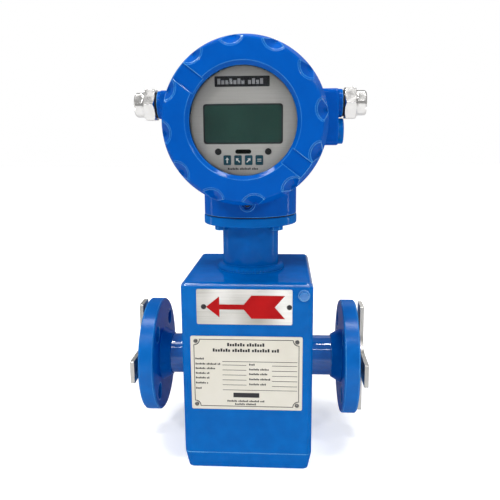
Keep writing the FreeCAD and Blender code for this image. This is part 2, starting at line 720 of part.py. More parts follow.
def base_pan():
    """Pressed pan that closes the housing from below and carries the meter."""
    body = new_body("base_pan")
    rim = outline(body, rectangle_points("sizes.box_width", "sizes.box_depth"), offset="-sizes.box_seam")
    height = "(sizes.box_bottom - sizes.box_seam)"
    pad(body, rim, height, backwards=True, taper=f"-atan(sizes.pan_inset / {height})")
    shallow = value(height)

    def sloping(edge, middle):
        return shallow - CLOSE < edge.Length < 2 * shallow

    soften(body, "sizes.box_corner", sloping)
    room = "sizes.box_width - 2 * sizes.box_wall - 2 * sizes.pan_inset"
    deep = "sizes.box_depth - 2 * sizes.box_wall - 2 * sizes.pan_inset"
    inside = outline(body, rectangle_points(room, deep), offset="-sizes.box_seam")
    cut(body, inside, f"{height} - sizes.box_wall")


def neck():
    """Neck tube with its weld bead below and the bolting flange above."""
    body = new_body("neck")
    bead_top = "(sizes.box_top + sizes.weld_height)"
    bead_side = "(sizes.neck_radius + sizes.weld_width)"
    profile = [
        (NECK_BORE, "sizes.box_top - sizes.box_wall"),
        ("sizes.neck_radius", "sizes.box_top - sizes.box_wall"),
        ("sizes.neck_radius", "sizes.box_top"),
        (bead_side, "sizes.box_top"),
        (bead_side, bead_top),
        ("sizes.neck_radius", bead_top),
        ("sizes.neck_radius", NECK_FLANGE_UNDER),
        ("sizes.neck_flange_radius", NECK_FLANGE_UNDER),
        ("sizes.neck_flange_radius", NECK_TOP),
        (NECK_BORE, NECK_TOP),
    ]
    turn(body, outline(body, profile, "XZ_Plane"))
    bead = value(bead_side)
    crest = value(bead_top)
    soften(body, "sizes.weld_round", lambda edge, at: is_circle(edge, bead) and abs(at.z - crest) < CLOSE)
    hole = cut(body, circles(body, [NECK_BOLT_HOLE], offset=NECK_TOP), "sizes.neck_flange_thickness")
    repeat_round(body, [hole], "sizes.neck_bolt_count")
    rim = size("neck_flange_radius")
    soften(body, "sizes.flange_edge", lambda edge, at: is_circle(edge, rim))


def neck_gasket():
    body = new_body("neck_gasket", z=NECK_TOP)
    ring = circles(body, [
        ("0", "0", "sizes.neck_flange_radius - sizes.gasket_setback"), ("0", "0", NECK_BORE),
    ])
    pad(body, ring, "sizes.gasket_thickness")
    hole_sketch = circles(body, [NECK_BOLT_HOLE], offset="sizes.gasket_thickness")
    hole = cut(body, hole_sketch, "sizes.gasket_thickness")
    repeat_round(body, [hole], "sizes.neck_bolt_count")


def neck_bolts():
    """Hexagon bolts that come up through the neck flange into the transmitter."""
    bolts = []
    shank = "sizes.neck_flange_thickness + sizes.gasket_thickness + sizes.neck_bolt_grip"
    for index, (sign_x, sign_y) in enumerate((("", ""), ("-", ""), ("-", "-"), ("", "-"))):
        x = f"{sign_x}{BOLT_OFFSET}"
        y = f"{sign_y}{BOLT_OFFSET}"
        head = doc.addObject("Part::Prism", f"bolt_head_{index}")
        head.Polygon = 6
        bind(head, "Circumradius", "sizes.neck_bolt_flats / 2 / cos(30)")
        bind(head, "Height", "sizes.neck_bolt_head")
        place(head, UPRIGHT, x, y, f"{NECK_FLANGE_UNDER} - sizes.neck_bolt_head")
        thread = cylinder(
            f"bolt_thread_{index}", "sizes.neck_bolt_radius", shank, UPRIGHT, x, y, NECK_FLANGE_UNDER,
        )
        bolts.append(fuse(f"bolt_{index}", [head, thread]))
    subpart(group_of_solids("neck_bolts", bolts), "neck_bolts")


# Transmitter: cast housing and screw covers

def transmitter_housing():
    """Cast housing: a lying barrel with two chambers, an upright base and cable bosses."""
    body = new_body("transmitter_housing", z=HEAD)
    barrel = [
        (f"-{SPIGOT_END}", "0"), (SPIGOT_END, "0"), (SPIGOT_END, "sizes.spigot_radius"),
        ("sizes.barrel_half", "sizes.spigot_radius"), ("sizes.barrel_half", "sizes.barrel_radius"),
        ("-sizes.barrel_half", "sizes.barrel_radius"), ("-sizes.barrel_half", "sizes.spigot_radius"),
        (f"-{SPIGOT_END}", "sizes.spigot_radius"),
    ]
    turn(body, outline(body, barrel, "YZ_Plane"), "H_Axis")
    column = circles(body, [("0", "0", "sizes.column_radius")])
    pad(body, column, BASE_DEPTH, backwards=True)

    double_height = "(sizes.boss_top + sizes.boss_bottom)"
    single_height = "2 * (sizes.boss_top - sizes.entry_height)"
    double_middle = "(sizes.boss_top - sizes.boss_bottom) / 2"
    right_boss = rectangle_points("2 * sizes.boss_half_width", double_height, v=double_middle)
    left_boss = rectangle_points("2 * sizes.boss_half_width", single_height, v="sizes.entry_height")
    pad(body, outline(body, right_boss, "YZ_Plane"), "sizes.boss_reach")
    pad(body, outline(body, left_boss, "YZ_Plane"), "sizes.boss_reach", backwards=True)
    soften(body, "sizes.boss_corner", along(ALONG_X, right_boss + left_boss))
    reach = size("boss_reach")
    soften(body, "sizes.shoulder_edge", lambda edge, at: abs(abs(at.x) - reach) < CLOSE)

    barrel_radius = size("barrel_radius")
    soften(body, "sizes.shoulder_edge", lambda edge, at: is_circle(edge, barrel_radius))

    collar = circles(body, [("0", "sizes.entry_height", "sizes.entry_collar_radius")], "YZ_Plane")
    pad(body, collar, f"2 * {ENTRY_FACE}", both_ways=True)

    lock = circles(body, [("0", f"-{LOCK_DROP}", "sizes.lock_boss_radius")], "XZ_Plane")
    pad(body, lock, LOCK_FRONT)

    front_chamber = [
        (f"-{SPIGOT_END}", "0"), ("-sizes.partition_front", "0"),
        ("-sizes.partition_front", "sizes.chamber_radius"), (f"-{SPIGOT_END}", "sizes.chamber_radius"),
    ]
    turn_out(body, outline(body, front_chamber, "YZ_Plane"), "H_Axis")
    rear_chamber = [
        ("-sizes.partition_back", "0"), (SPIGOT_END, "0"),
        (SPIGOT_END, "sizes.chamber_radius"), ("-sizes.partition_back", "sizes.chamber_radius"),
    ]
    turn_out(body, outline(body, rear_chamber, "YZ_Plane"), "H_Axis")

    floor = f"-({BASE_DEPTH} - sizes.column_floor)"
    hollow = circles(body, [("0", "0", "sizes.column_radius - sizes.column_wall")], offset=floor)
    cut(body, hollow, f"{BASE_DEPTH} - sizes.column_floor - sizes.wire_room_top", backwards=True)
    wires = circles(body, [("0", "0", "sizes.wire_hole_radius")], offset=floor)
    cut(body, wires, "2 * sizes.column_floor")
    threads = circles(body, [(BOLT_OFFSET, BOLT_OFFSET, "sizes.neck_bolt_radius")], offset=f"-{BASE_DEPTH}")
    thread = cut(body, threads, "sizes.neck_bolt_grip", backwards=True)
    repeat_round(body, [thread], "sizes.neck_bolt_count")

    entries = circles(body, [("0", "sizes.entry_height", "sizes.entry_radius")], "YZ_Plane")
    cut(body, entries, f"2 * {ENTRY_FACE}", both_ways=True)
    plugged = circles(body, [("0", "-sizes.plug_depth", "sizes.entry_radius")], "YZ_Plane")
    cut(body, plugged, "sizes.boss_reach", backwards=True)

    recess_circle = ("0", f"-{LOCK_DROP}", "sizes.lock_recess_radius")
    cut(body, circles(body, [recess_circle], "XZ_Plane", LOCK_FRONT), "sizes.lock_recess_depth")
    screw_circle = ("0", f"-{LOCK_DROP}", "sizes.lock_screw_radius")
    screw_hole = circles(body, [screw_circle], "XZ_Plane", LOCK_FRONT)
    cut(body, screw_hole, "sizes.lock_recess_depth + sizes.lock_screw_length")


def screw_cover(label, rotation, with_window):
    """Round screw cover with finger scallops and two tool grooves."""
    groove_turn = FreeCAD.Rotation(Z_AXIS, value("sizes.groove_angle"))
    body = new_body(label, rotation * groove_turn, z=HEAD)
    thread = "(sizes.spigot_radius + sizes.running_fit)"
    web = f"({COVER_RIM} + sizes.cover_web)"
    seal_room = "(sizes.seal_radius + sizes.seal_cord + sizes.air_gap)"
    seal_depth = f"({COVER_RIM} + sizes.seal_room)"
    inside = [
        (seal_room, COVER_RIM), (seal_room, seal_depth), (thread, seal_depth), (thread, web),
    ]
    outside = [
        ("sizes.cover_face_radius", COVER_FACE),
        ("sizes.cover_rim_radius", f"{COVER_RIM} + sizes.cover_rim_width"),
        ("sizes.cover_rim_radius", COVER_RIM),
    ]
    if with_window:
        glass_room = "(sizes.glass_radius + sizes.air_gap)"
        front = [
            (glass_room, web), (glass_room, GLASS_FRONT), ("sizes.window_radius", GLASS_FRONT),
            ("sizes.window_radius", f"{COVER_FACE} - sizes.window_bevel"),
            ("sizes.window_radius + sizes.window_bevel", COVER_FACE),
        ]
    else:
        front = [("0", web), ("0", COVER_FACE)]
    turn(body, outline(body, inside + front + outside, "XZ_Plane"))

    face_radius = size("cover_face_radius")
    soften(body, "sizes.cover_edge", lambda edge, at: is_circle(edge, face_radius))

    u = "sizes.scallop_centre * cos(180 / sizes.scallop_count)"
    v = "sizes.scallop_centre * sin(180 / sizes.scallop_count)"
    scallop = circles(body, [(u, v, "sizes.scallop_radius")], offset=COVER_FACE)
    depth = "sizes.cover_length - sizes.cover_rim_width"
    hollow = cut(body, scallop, depth, taper="-sizes.scallop_taper")
    mouth = circles(body, [(u, v, "sizes.scallop_radius + sizes.scallop_edge")], offset=COVER_FACE)
    broken_edge = cut(body, mouth, "sizes.scallop_edge", taper="-sizes.scallop_edge_slope")
    repeat_round(body, [hollow, broken_edge], "sizes.scallop_count")

    length = "(sizes.cover_rim_radius - sizes.window_radius)"
    middle = "(sizes.cover_rim_radius + sizes.window_radius) / 2"
    groove = rectangle_points(length, "sizes.groove_width", u=middle)
    sunk = cut(body, outline(body, groove, offset=COVER_FACE), "sizes.groove_depth")
    repeat_round(body, [sunk], "2")


def cover_seal(label, rotation):
    """Rubber ring that goes with its cover when the cover comes off."""
    ring = doc.addObject("Part::Torus", label)
    bind(ring, "Radius1", "sizes.seal_radius")
    bind(ring, "Radius2", "sizes.seal_cord")
    sign = "-" if rotation is TO_FRONT else ""
    middle = f"{COVER_RIM} + sizes.seal_room / 2"
    place(ring, rotation, y=f"{sign}({middle})", z=HEAD)
    subpart(ring, label)


def window_glass():
    body = new_body("window_glass", TO_FRONT, z=HEAD)
    disc = circles(body, [("0", "0", "sizes.glass_radius")], offset=GLASS_BACK)
    pad(body, disc, "sizes.glass_thickness")


def glass_retainer():
    body = new_body("glass_retainer", TO_FRONT, z=HEAD)
    ring = circles(body, [
        ("0", "0", "sizes.glass_radius + sizes.air_gap"), ("0", "0", "sizes.window_radius"),
    ], offset=GLASS_BACK)
    pad(body, ring, "sizes.retainer_thickness", backwards=True)


# Transmitter: display, keys and boards

def display_plate():
    """Round brushed plate with the display window, the slot and the key holes."""
    body = new_body("display_plate", TO_FRONT, z=HEAD)
    disc = circles(body, [("0", "0", "sizes.bezel_radius")], offset=BEZEL_BACK)
    pad(body, disc, "sizes.bezel_thickness")

    def punch(sketch):
        cut(body, sketch, "sizes.bezel_thickness")

    window = rectangle_points(
        "sizes.lcd_width", "sizes.lcd_height", "sizes.lcd_centre_x", "sizes.lcd_centre_z",
    )
    punch(outline(body, window, offset="sizes.bezel_front"))
    soften(body, "sizes.lcd_corner", along(ALONG_Z, window))
    straight = "(sizes.slot_width - sizes.slot_height)"
    slot = rectangle_points(straight, "sizes.slot_height", "sizes.lcd_centre_x", "sizes.bezel_screw_z")
    punch(outline(body, slot, offset="sizes.bezel_front"))
    for sign in "-+":
        end = (f"sizes.lcd_centre_x {sign} {straight} / 2", "sizes.bezel_screw_z", "sizes.slot_height / 2")
        punch(circles(body, [end], offset="sizes.bezel_front"))
    key_corners = []
    for index in range(len(KEY_NAMES)):
        hole = rectangle_points(
            "sizes.key_width + 2 * sizes.air_gap", "sizes.key_height + 2 * sizes.air_gap",
            key_x(index), "sizes.key_centre_z",
        )
        punch(outline(body, hole, offset="sizes.bezel_front"))
        key_corners += hole
    soften(body, "sizes.key_corner + sizes.air_gap", along(ALONG_Z, key_corners))
    screws = [(bezel_screw_x(sign), "sizes.bezel_screw_z", "sizes.bezel_screw_radius") for sign in "-+"]
    punch(circles(body, screws, offset="sizes.bezel_front"))


def display_screws():
    """Two pan head screws through the display plate into its spacers."""
    screws = []
    for sign in "-+":
        name = "left" if sign == "-" else "right"
        x = bezel_screw_x(sign)
        z = f"{HEAD} + sizes.bezel_screw_z"
        head = cylinder(
            f"{name}_head", "sizes.bezel_screw_head", "sizes.bezel_screw_rise", TO_FRONT, x,
            "-sizes.bezel_front", z,
        )
        reach = "sizes.bezel_front - sizes.display_board_front"
        stem = cylinder(
            f"{name}_screw_stem", "sizes.bezel_screw_radius", reach, TO_FRONT, x,
            "-sizes.display_board_front", z,
        )
        screws.append(fuse(f"{name}_screw", [head, stem]))
    subpart(group_of_solids("display_screws", screws), "display_screws")


def display_spacers():
    """Two sleeves that carry the display plate on its board."""
    spacers = []
    for sign in "-+":
        name = "left" if sign == "-" else "right"
        foot = (bezel_screw_x(sign), "-sizes.display_board_front", f"{HEAD} + sizes.bezel_screw_z")
        sleeve = cylinder(f"{name}_spacer_outside", "sizes.pillar_radius", DISPLAY_GAP, TO_FRONT, *foot)
        hole = cylinder(f"{name}_spacer_hole", "sizes.bezel_screw_radius", DISPLAY_GAP, TO_FRONT, *foot)
        spacers.append(subtract(f"{name}_spacer", sleeve, hole))
    subpart(group_of_solids("display_spacers", spacers), "display_spacers")


def display_module():
    """Display glass and its carrier between the plate and the board."""
    body = new_body("display_module", TO_FRONT, z=HEAD)
    carrier = rectangle_points(
        "sizes.lcd_width + 2 * sizes.lcd_border", "sizes.lcd_height + 2 * sizes.lcd_border",
        "sizes.lcd_centre_x", "sizes.lcd_centre_z",
    )
    pad(body, outline(body, carrier, offset="sizes.display_board_front"), DISPLAY_GAP)
    glass = rectangle_points(
        "sizes.lcd_width - 2 * sizes.air_gap", "sizes.lcd_height - 2 * sizes.air_gap",
        "sizes.lcd_centre_x", "sizes.lcd_centre_z",
    )
    pad(body, outline(body, glass, offset=BEZEL_BACK), "sizes.bezel_thickness - sizes.lcd_recess")
    soften(body, "sizes.lcd_corner - sizes.air_gap", along(ALONG_Z, glass))


def key(label, index):
    """Key cap with a flange behind the plate that keeps it in."""
    body = new_body(label, TO_FRONT, z=HEAD)
    seat = f"({BEZEL_BACK} - sizes.air_gap)"
    cap = rectangle_points("sizes.key_width", "sizes.key_height", key_x(index), "sizes.key_centre_z")
    pad(body, outline(body, cap, offset=seat), f"sizes.bezel_front + sizes.key_stand - {seat}")
    soften(body, "sizes.key_corner", along(ALONG_Z, cap))
    flange_shape = rectangle_points(
        "sizes.key_width + 2 * sizes.key_flange", "sizes.key_height + 2 * sizes.key_flange",
        key_x(index), "sizes.key_centre_z",
    )
    pad(body, outline(body, flange_shape, offset=seat), "sizes.key_flange", backwards=True)


def key_switches():
    """One small switch under each key, on the display board."""
    switches = []
    height = f"{DISPLAY_GAP} - sizes.key_flange - sizes.key_travel - 2 * sizes.air_gap"
    for index in range(len(KEY_NAMES)):
        switches.append(box(
            f"switch_{index}", "sizes.key_width", height, "sizes.key_width", key_x(index),
            f"-(sizes.display_board_front + ({height}) / 2)", f"{HEAD} + sizes.key_centre_z",
        ))
    subpart(group_of_solids("key_switches", switches), "key_switches")


def pillar_points():
    """Centres of the three board pillars about the transmitter axis."""
    places = []
    for degrees in (90, 210, 330):
        places.append((f"sizes.pillar_circle * cos({degrees})", f"sizes.pillar_circle * sin({degrees})"))
    return places


def circuit_board(label, front, drilled):
    body = new_body(label, TO_FRONT, z=HEAD)
    rounds = [("0", "0", "sizes.board_radius")]
    if drilled:
        rounds += [(u, v, "sizes.pillar_radius") for u, v in pillar_points()]
    pad(body, circles(body, rounds, offset=front), "sizes.board_thickness", backwards=True)


def board_pillars():
    """Three posts from the partition that carry both boards."""
    posts = []
    length = "sizes.display_board_front - sizes.board_thickness - sizes.partition_front"
    for index, (u, v) in enumerate(pillar_points()):
        posts.append(cylinder(
            f"pillar_{index}", "sizes.pillar_radius", length, TO_FRONT, u,
            "-sizes.partition_front", f"{HEAD} + {v}",
        ))
    subpart(group_of_solids("board_pillars", posts), "board_pillars")


def terminal_places():
    """Place of each terminal along the block."""
    count = int(size("terminal_count"))
    return [f"{TERMINALS} * ({index} + 0.5) - sizes.terminal_width / 2" for index in range(count)]


def terminal_block():
    """Insulating block with a row of wire openings below its clamp screws."""
    body = new_body("terminal_block", TO_BACK, z=f"{HEAD} - sizes.terminal_drop")
    base = "-sizes.partition_back"
    face = "(sizes.terminal_depth - sizes.partition_back)"
    block = rectangle_points("sizes.terminal_width", "sizes.terminal_height")
    pad(body, outline(body, block, offset=base), "sizes.terminal_depth")
    screws = [(x, "sizes.clamp_rise", "sizes.clamp_radius") for x in terminal_places()]
    cut(body, circles(body, screws, offset=face), "sizes.clamp_recess")
    wires = [(x, "-sizes.wire_drop", "sizes.clamp_radius") for x in terminal_places()]
    cut(body, circles(body, wires, offset=face), "sizes.wire_depth")


def terminal_screws():
    """Clamp screws on the bottoms of their holes in the block."""
    screws = []
    for index, x in enumerate(terminal_places()):
        screws.append(cylinder(
            f"clamp_screw_{index}", "sizes.clamp_radius", "sizes.clamp_length", TO_BACK, f"-({x})",
            "sizes.terminal_depth - sizes.clamp_recess - sizes.partition_back",
            f"{HEAD} - sizes.terminal_drop + sizes.clamp_rise",
        ))
    subpart(group_of_solids("terminal_screws", screws), "terminal_screws")


# Transmitter: cable glands, plug and lock screw

def gland(side, rotation):
    """Cable gland on the collar of a cable boss, built outwards along local Z."""
    height = f"{HEAD} + sizes.entry_height"
    hex_start = f"({ENTRY_FACE} + sizes.washer_thickness)"
    hex_end = f"({hex_start} + sizes.gland_hex)"
    neck_end = f"({hex_end} + sizes.gland_neck)"
    seal_start = f"({neck_end} - sizes.gland_seal_length)"

    washer = new_body(f"gland_washer_{side}", rotation, z=height)
    ring = [("0", "0", "sizes.washer_radius"), ("0", "0", "sizes.entry_radius")]
    pad(washer, circles(washer, ring, offset=ENTRY_FACE), "sizes.washer_thickness")

    body = new_body(f"gland_body_{side}", rotation, z=height)
    shank_end = f"({hex_start} - sizes.gland_thread)"
    hex_flat = "(sizes.gland_flats / 2)"
    hex_corner = f"({hex_flat} / cos(30))"
    chamfer = f"(({hex_corner} - {hex_flat}) * tan(sizes.gland_hex_slope))"
    profile = [
        ("sizes.gland_bore", shank_end), ("sizes.entry_radius", shank_end),
        ("sizes.entry_radius", hex_start), (hex_flat, hex_start),
        (hex_corner, f"{hex_start} + {chamfer}"), (hex_corner, f"{hex_end} - {chamfer}"),
        (hex_flat, hex_end), ("sizes.gland_neck_radius", hex_end),
        ("sizes.gland_neck_radius", neck_end), ("sizes.gland_seal_radius", neck_end),
        ("sizes.gland_seal_radius", seal_start), ("sizes.gland_bore", seal_start),
    ]
    turn(body, outline(body, profile, "XZ_Plane"))
    cut(body, outside_hexagon(body, "sizes.gland_flats", hex_end), "sizes.gland_hex")

    seal = new_body(f"gland_seal_{side}", rotation, z=height)
    rubber = circles(seal, [
        ("0", "0", "sizes.gland_seal_radius"), ("0", "0", "sizes.gland_seal_bore"),
    ], offset=seal_start)
    pad(seal, rubber, "sizes.gland_seal_length")

    slip = new_body(f"gland_slip_ring_{side}", rotation, z=height)
    slip_start = f"({neck_end} + sizes.air_gap)"
    disc = circles(slip, [
        ("0", "0", "sizes.gland_neck_radius - sizes.air_gap"), ("0", "0", "sizes.gland_bore"),
    ], offset=slip_start)
    pad(slip, disc, "sizes.slip_ring_thickness")

    nut = new_body(f"gland_nut_{side}", rotation, z=height)
    nut_start = f"({hex_end} + sizes.air_gap)"
    nut_end = f"({nut_start} + sizes.dome_length)"
    thread_end = f"({slip_start} + sizes.slip_ring_thickness + sizes.air_gap)"
    inner = "(sizes.gland_neck_radius + sizes.running_fit)"
    profile = [
        (inner, nut_start), ("sizes.dome_radius", nut_start),
        ("sizes.dome_radius", f"{nut_end} - sizes.dome_chamfer"),
        ("sizes.dome_radius - sizes.dome_chamfer", nut_end), ("sizes.dome_opening", nut_end),
        ("sizes.dome_opening", thread_end), (inner, thread_end),
    ]
    turn(nut, outline(nut, profile, "XZ_Plane"))
    flats = outside_hexagon(nut, "sizes.dome_flats", nut_end)
    cut(nut, flats, "sizes.dome_length - sizes.dome_collar")


def blanking_plug():
    """Plug with a hexagon key in the entry that no cable uses."""
    body = new_body("blanking_plug", TO_RIGHT, z=f"{HEAD} - sizes.plug_depth")
    head = circles(body, [("0", "0", "sizes.plug_head_radius")], offset="sizes.boss_reach")
    pad(body, head, "sizes.plug_head")
    thread = circles(body, [("0", "0", "sizes.entry_radius")], offset="sizes.boss_reach")
    pad(body, thread, "sizes.plug_thread", backwards=True)
    face = "sizes.boss_reach + sizes.plug_head"
    key_hole = outline(body, hexagon_points("sizes.plug_key_flats"), offset=face)
    cut(body, key_hole, "sizes.plug_key_depth")
    rim = size("plug_head_radius")
    far = value("sizes.boss_reach + sizes.plug_head")
    soften(body, "sizes.flange_edge", lambda edge, at: is_circle(edge, rim) and abs(at.z - far) < CLOSE)


def cover_lock_screw():
    body = new_body("cover_lock_screw", TO_FRONT, z=f"{HEAD} - {LOCK_DROP}")
    front = f"{LOCK_FRONT} - sizes.lock_recess_depth"
    shank = circles(body, [("0", "0", "sizes.lock_screw_radius")], offset=front)
    pad(body, shank, "sizes.lock_screw_length", backwards=True)
    key_hole = outline(body, hexagon_points("sizes.lock_screw_radius"), offset=front)
    cut(body, key_hole, "sizes.lock_screw_length / 2")


# Plates and small fittings on the sensor housing

def sheet_plate(label, width, height, x, z):
    body = new_body(label, TO_FRONT)
    corners = rectangle_points(width, height, x, z)
    pad(body, outline(body, corners, offset=BOX_FRONT), "sizes.plate_thickness")
    soften(body, "sizes.plate_corner", along(ALONG_Z, corners))


def flow_arrow():
    """Red arrow that points the way of the flow, with a barbed tail."""
    body = new_body("flow_arrow", TO_FRONT)
    tip = "(sizes.arrow_plate_x - sizes.arrow_plate_width / 2 + sizes.arrow_margin)"
    barb = f"({tip} + sizes.arrow_head_length)"
    shaft_end = f"({barb} + sizes.arrow_shaft_length)"
    tail_start = f"({shaft_end} + sizes.arrow_flare)"
    tail_end = f"({tail_start} + sizes.arrow_tail_length)"
    side = [
        (barb, "sizes.arrow_head_half"), (barb, "sizes.arrow_shaft_half"),
        (shaft_end, "sizes.arrow_shaft_half"), (tail_start, "sizes.arrow_tail_half"),
        (tail_end, "sizes.arrow_tail_half"),
    ]
    upper = [(x, f"{ARROW_PLATE_Z} + {rise}") for x, rise in side]
    lower = [(x, f"{ARROW_PLATE_Z} - {rise}") for x, rise in reversed(side)]
    notch = (f"{tail_end} - sizes.arrow_notch", ARROW_PLATE_Z)
    points = [(tip, ARROW_PLATE_Z)] + upper + [notch] + lower
    pad(body, outline(body, points, offset=f"{BOX_FRONT} + sizes.plate_thickness"), "sizes.arrow_relief")


def rivets(label, radius, centres):
    """Rivets with their heads on a plate."""
    heads = []
    for index, (x, z) in enumerate(centres):
        head = doc.addObject("Part::Cone", f"{label}_{index}")
        bind(head, "Radius1", radius)
        bind(head, "Radius2", f"{radius} - sizes.rivet_taper")
        bind(head, "Height", "sizes.rivet_head")
        heads.append(place(head, TO_FRONT, x, f"-({BOX_FRONT} + sizes.plate_thickness)", z))
    subpart(group_of_solids(label, heads), label)


def plate_rivets():
    """Four small rivets on the data plate and two larger ones on the flow direction plate."""
    name_corners = rectangle_points(
        "sizes.name_plate_width - 2 * sizes.name_rivet_inset",
        "sizes.name_plate_height - 2 * sizes.name_rivet_inset", "sizes.name_plate_x", NAME_PLATE_Z,
    )
    rivets("plate_rivets", "sizes.name_rivet_radius", name_corners)
    arrow_ends = [(f"{sign}sizes.arrow_rivet_spacing / 2", ARROW_PLATE_Z) for sign in ("-", "")]
    rivets("arrow_rivets", "sizes.arrow_rivet_radius", arrow_ends)


def earth_screw():
    """Earthing screw on the housing front, with its washer."""
    x = "sizes.box_width / 2 - sizes.earth_screw_inset"
    z = "sizes.box_top - sizes.earth_screw_drop"
    washer = new_body("earth_washer", TO_FRONT, x=x, z=z)
    disc = circles(washer, [("0", "0", "sizes.earth_washer_radius")], offset=BOX_FRONT)
    pad(washer, disc, "sizes.earth_washer_thickness")
    screw = new_body("earth_screw", TO_FRONT, x=x, z=z)
    seat = f"{BOX_FRONT} + sizes.earth_washer_thickness"
    head = outline(screw, hexagon_points("sizes.earth_screw_flats"), offset=seat)
    pad(screw, head, "sizes.earth_screw_head")


def build():
    fill_sheet()
    measuring_tube()
    liner()
    for side, rotation in (("left", TO_LEFT), ("right", TO_RIGHT)):
        flange(f"flange_{side}", rotation)
        earthing_plate(f"earthing_plate_{side}", rotation)
    for name, flip in (("upper", UPRIGHT), ("lower", UPSIDE_DOWN)):
        pole_shoe(f"pole_shoe_{name}", flip)
        coil(f"coil_{name}", flip)
    magnet_yoke()
    electrode("electrode_front", TO_FRONT)
    electrode("electrode_rear", TO_BACK)
    electrode_bushes()
    sensor_housing()
    base_pan()
    neck()
    neck_gasket()
    neck_bolts()
    transmitter_housing()
    screw_cover("front_cover", TO_FRONT, with_window=True)
    screw_cover("rear_cover", TO_BACK, with_window=False)
    cover_seal("front_cover_seal", TO_FRONT)
    cover_seal("rear_cover_seal", TO_BACK)
    window_glass()
    glass_retainer()
    display_plate()
    display_screws()
    display_spacers()
    display_module()
    for index, name in enumerate(KEY_NAMES):
        key(name, index)
    key_switches()
    circuit_board("display_board", "sizes.display_board_front", drilled=False)
    circuit_board("main_board", "sizes.main_board_front", drilled=True)
    board_pillars()
    terminal_block()
    terminal_screws()
    gland("left", TO_LEFT)
    gland("right", TO_RIGHT)
    blanking_plug()
    cover_lock_screw()
    sheet_plate(
        "arrow_plate", "sizes.arrow_plate_width", "sizes.arrow_plate_height",
        "sizes.arrow_plate_x", ARROW_PLATE_Z,
    )
    sheet_plate(
        "name_plate", "sizes.name_plate_width", "sizes.name_plate_height",
        "sizes.name_plate_x", NAME_PLATE_Z,
    )
    flow_arrow()
    plate_rivets()
    earth_screw()
    doc.recompute()


def check():
    for item in doc.Objects:
        problems = [word for word in item.State if word in ("Invalid", "Error")]
        assert not problems, f"{item.Label} is {problems}"
    for item in subparts:
        shape = item.Shape
        assert not shape.isNull() and shape.isValid(), f"{item.Label} has no valid shape"
        print(f"{item.Label:22s} solids {len(shape.Solids)} volume {shape.Volume:10.1f}")


def write():
    os.makedirs("parts", exist_ok=True)
    for item in subparts:
        item.Shape.exportStep(f"parts/{item.Label}.step")


build()
check()
write()
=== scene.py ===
import json
import math

import bmesh
import bpy
from mathutils import Matrix, Vector


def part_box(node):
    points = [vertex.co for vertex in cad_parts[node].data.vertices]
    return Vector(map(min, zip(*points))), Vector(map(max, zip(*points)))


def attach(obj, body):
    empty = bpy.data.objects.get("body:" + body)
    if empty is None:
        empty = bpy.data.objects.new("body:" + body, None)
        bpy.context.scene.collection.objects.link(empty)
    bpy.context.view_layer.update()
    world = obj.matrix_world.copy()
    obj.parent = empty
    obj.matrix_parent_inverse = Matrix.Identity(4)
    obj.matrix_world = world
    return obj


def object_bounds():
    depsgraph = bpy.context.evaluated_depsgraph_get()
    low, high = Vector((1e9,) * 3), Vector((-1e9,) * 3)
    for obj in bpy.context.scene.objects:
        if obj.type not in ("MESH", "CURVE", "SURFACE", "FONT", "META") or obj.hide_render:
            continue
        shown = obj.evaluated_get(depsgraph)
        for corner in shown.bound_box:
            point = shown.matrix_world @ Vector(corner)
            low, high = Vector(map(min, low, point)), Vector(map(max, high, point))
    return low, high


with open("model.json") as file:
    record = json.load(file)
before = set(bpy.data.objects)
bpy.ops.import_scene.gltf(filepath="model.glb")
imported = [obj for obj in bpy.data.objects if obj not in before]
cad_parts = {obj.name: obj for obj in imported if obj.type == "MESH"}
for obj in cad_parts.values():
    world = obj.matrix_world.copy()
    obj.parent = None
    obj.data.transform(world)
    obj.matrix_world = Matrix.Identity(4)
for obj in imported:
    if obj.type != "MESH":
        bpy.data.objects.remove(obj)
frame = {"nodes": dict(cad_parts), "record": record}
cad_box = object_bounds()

# Flow meter with a round transmitter. Metres, in the frame's own axes:
# X along the pipe, -Y is the front, Z up, origin in the centre of the flow bore.

NODES = frame["nodes"]
MM = 0.001
WHITE = (1.0, 1.0, 1.0, 1.0)


# Node trees

# Nearly all of a noise texture lies between these two values.
NOISE_LOW = 0.3
NOISE_HIGH = 0.7

BEVEL_SAMPLES = 6
COAT_ROUGHNESS = 0.05


def new_material(name, colour, roughness, metallic=0.0, coat=0.0, coat_roughness=COAT_ROUGHNESS):
    """A material with its node tree and its shader."""
    material = bpy.data.materials.new(name)
    material.use_nodes = True
    shader = material.node_tree.nodes["Principled BSDF"]
    shader.inputs["Base Color"].default_value = (*colour, 1.0)
    shader.inputs["Metallic"].default_value = metallic
    shader.inputs["Roughness"].default_value = roughness
    shader.inputs["Coat Weight"].default_value = coat
    shader.inputs["Coat Roughness"].default_value = coat_roughness
    return material, material.node_tree, shader


def calculate(tree, operation, first, second=None):
    """Result of an operation on one or two values, each a number or an output."""
    node = tree.nodes.new("ShaderNodeMath")
    node.operation = operation
    for socket, value in zip(node.inputs, (first, second)):
        if isinstance(value, float):
            socket.default_value = value
        elif value is not None:
            tree.links.new(value, socket)
    return node.outputs["Value"]


def combined(tree, operation, values):
    result = values[0]
    for value in values[1:]:
        result = calculate(tree, operation, result, value)
    return result


def product(tree, *values):
    return combined(tree, "MULTIPLY", values)


def total(tree, *values):
    return combined(tree, "ADD", values)


def place_coordinates(tree, stretch=(1.0, 1.0, 1.0)):
    """Object coordinates, stretched per axis."""
    source = tree.nodes.new("ShaderNodeTexCoord")
    mapping = tree.nodes.new("ShaderNodeMapping")
    mapping.inputs["Scale"].default_value = stretch
    tree.links.new(source.outputs["Object"], mapping.inputs["Vector"])
    return mapping.outputs["Vector"]


def axis_values(tree, vector):
    """The outputs X, Y and Z of a vector."""
    node = tree.nodes.new("ShaderNodeSeparateXYZ")
    tree.links.new(vector, node.inputs["Vector"])
    return node.outputs


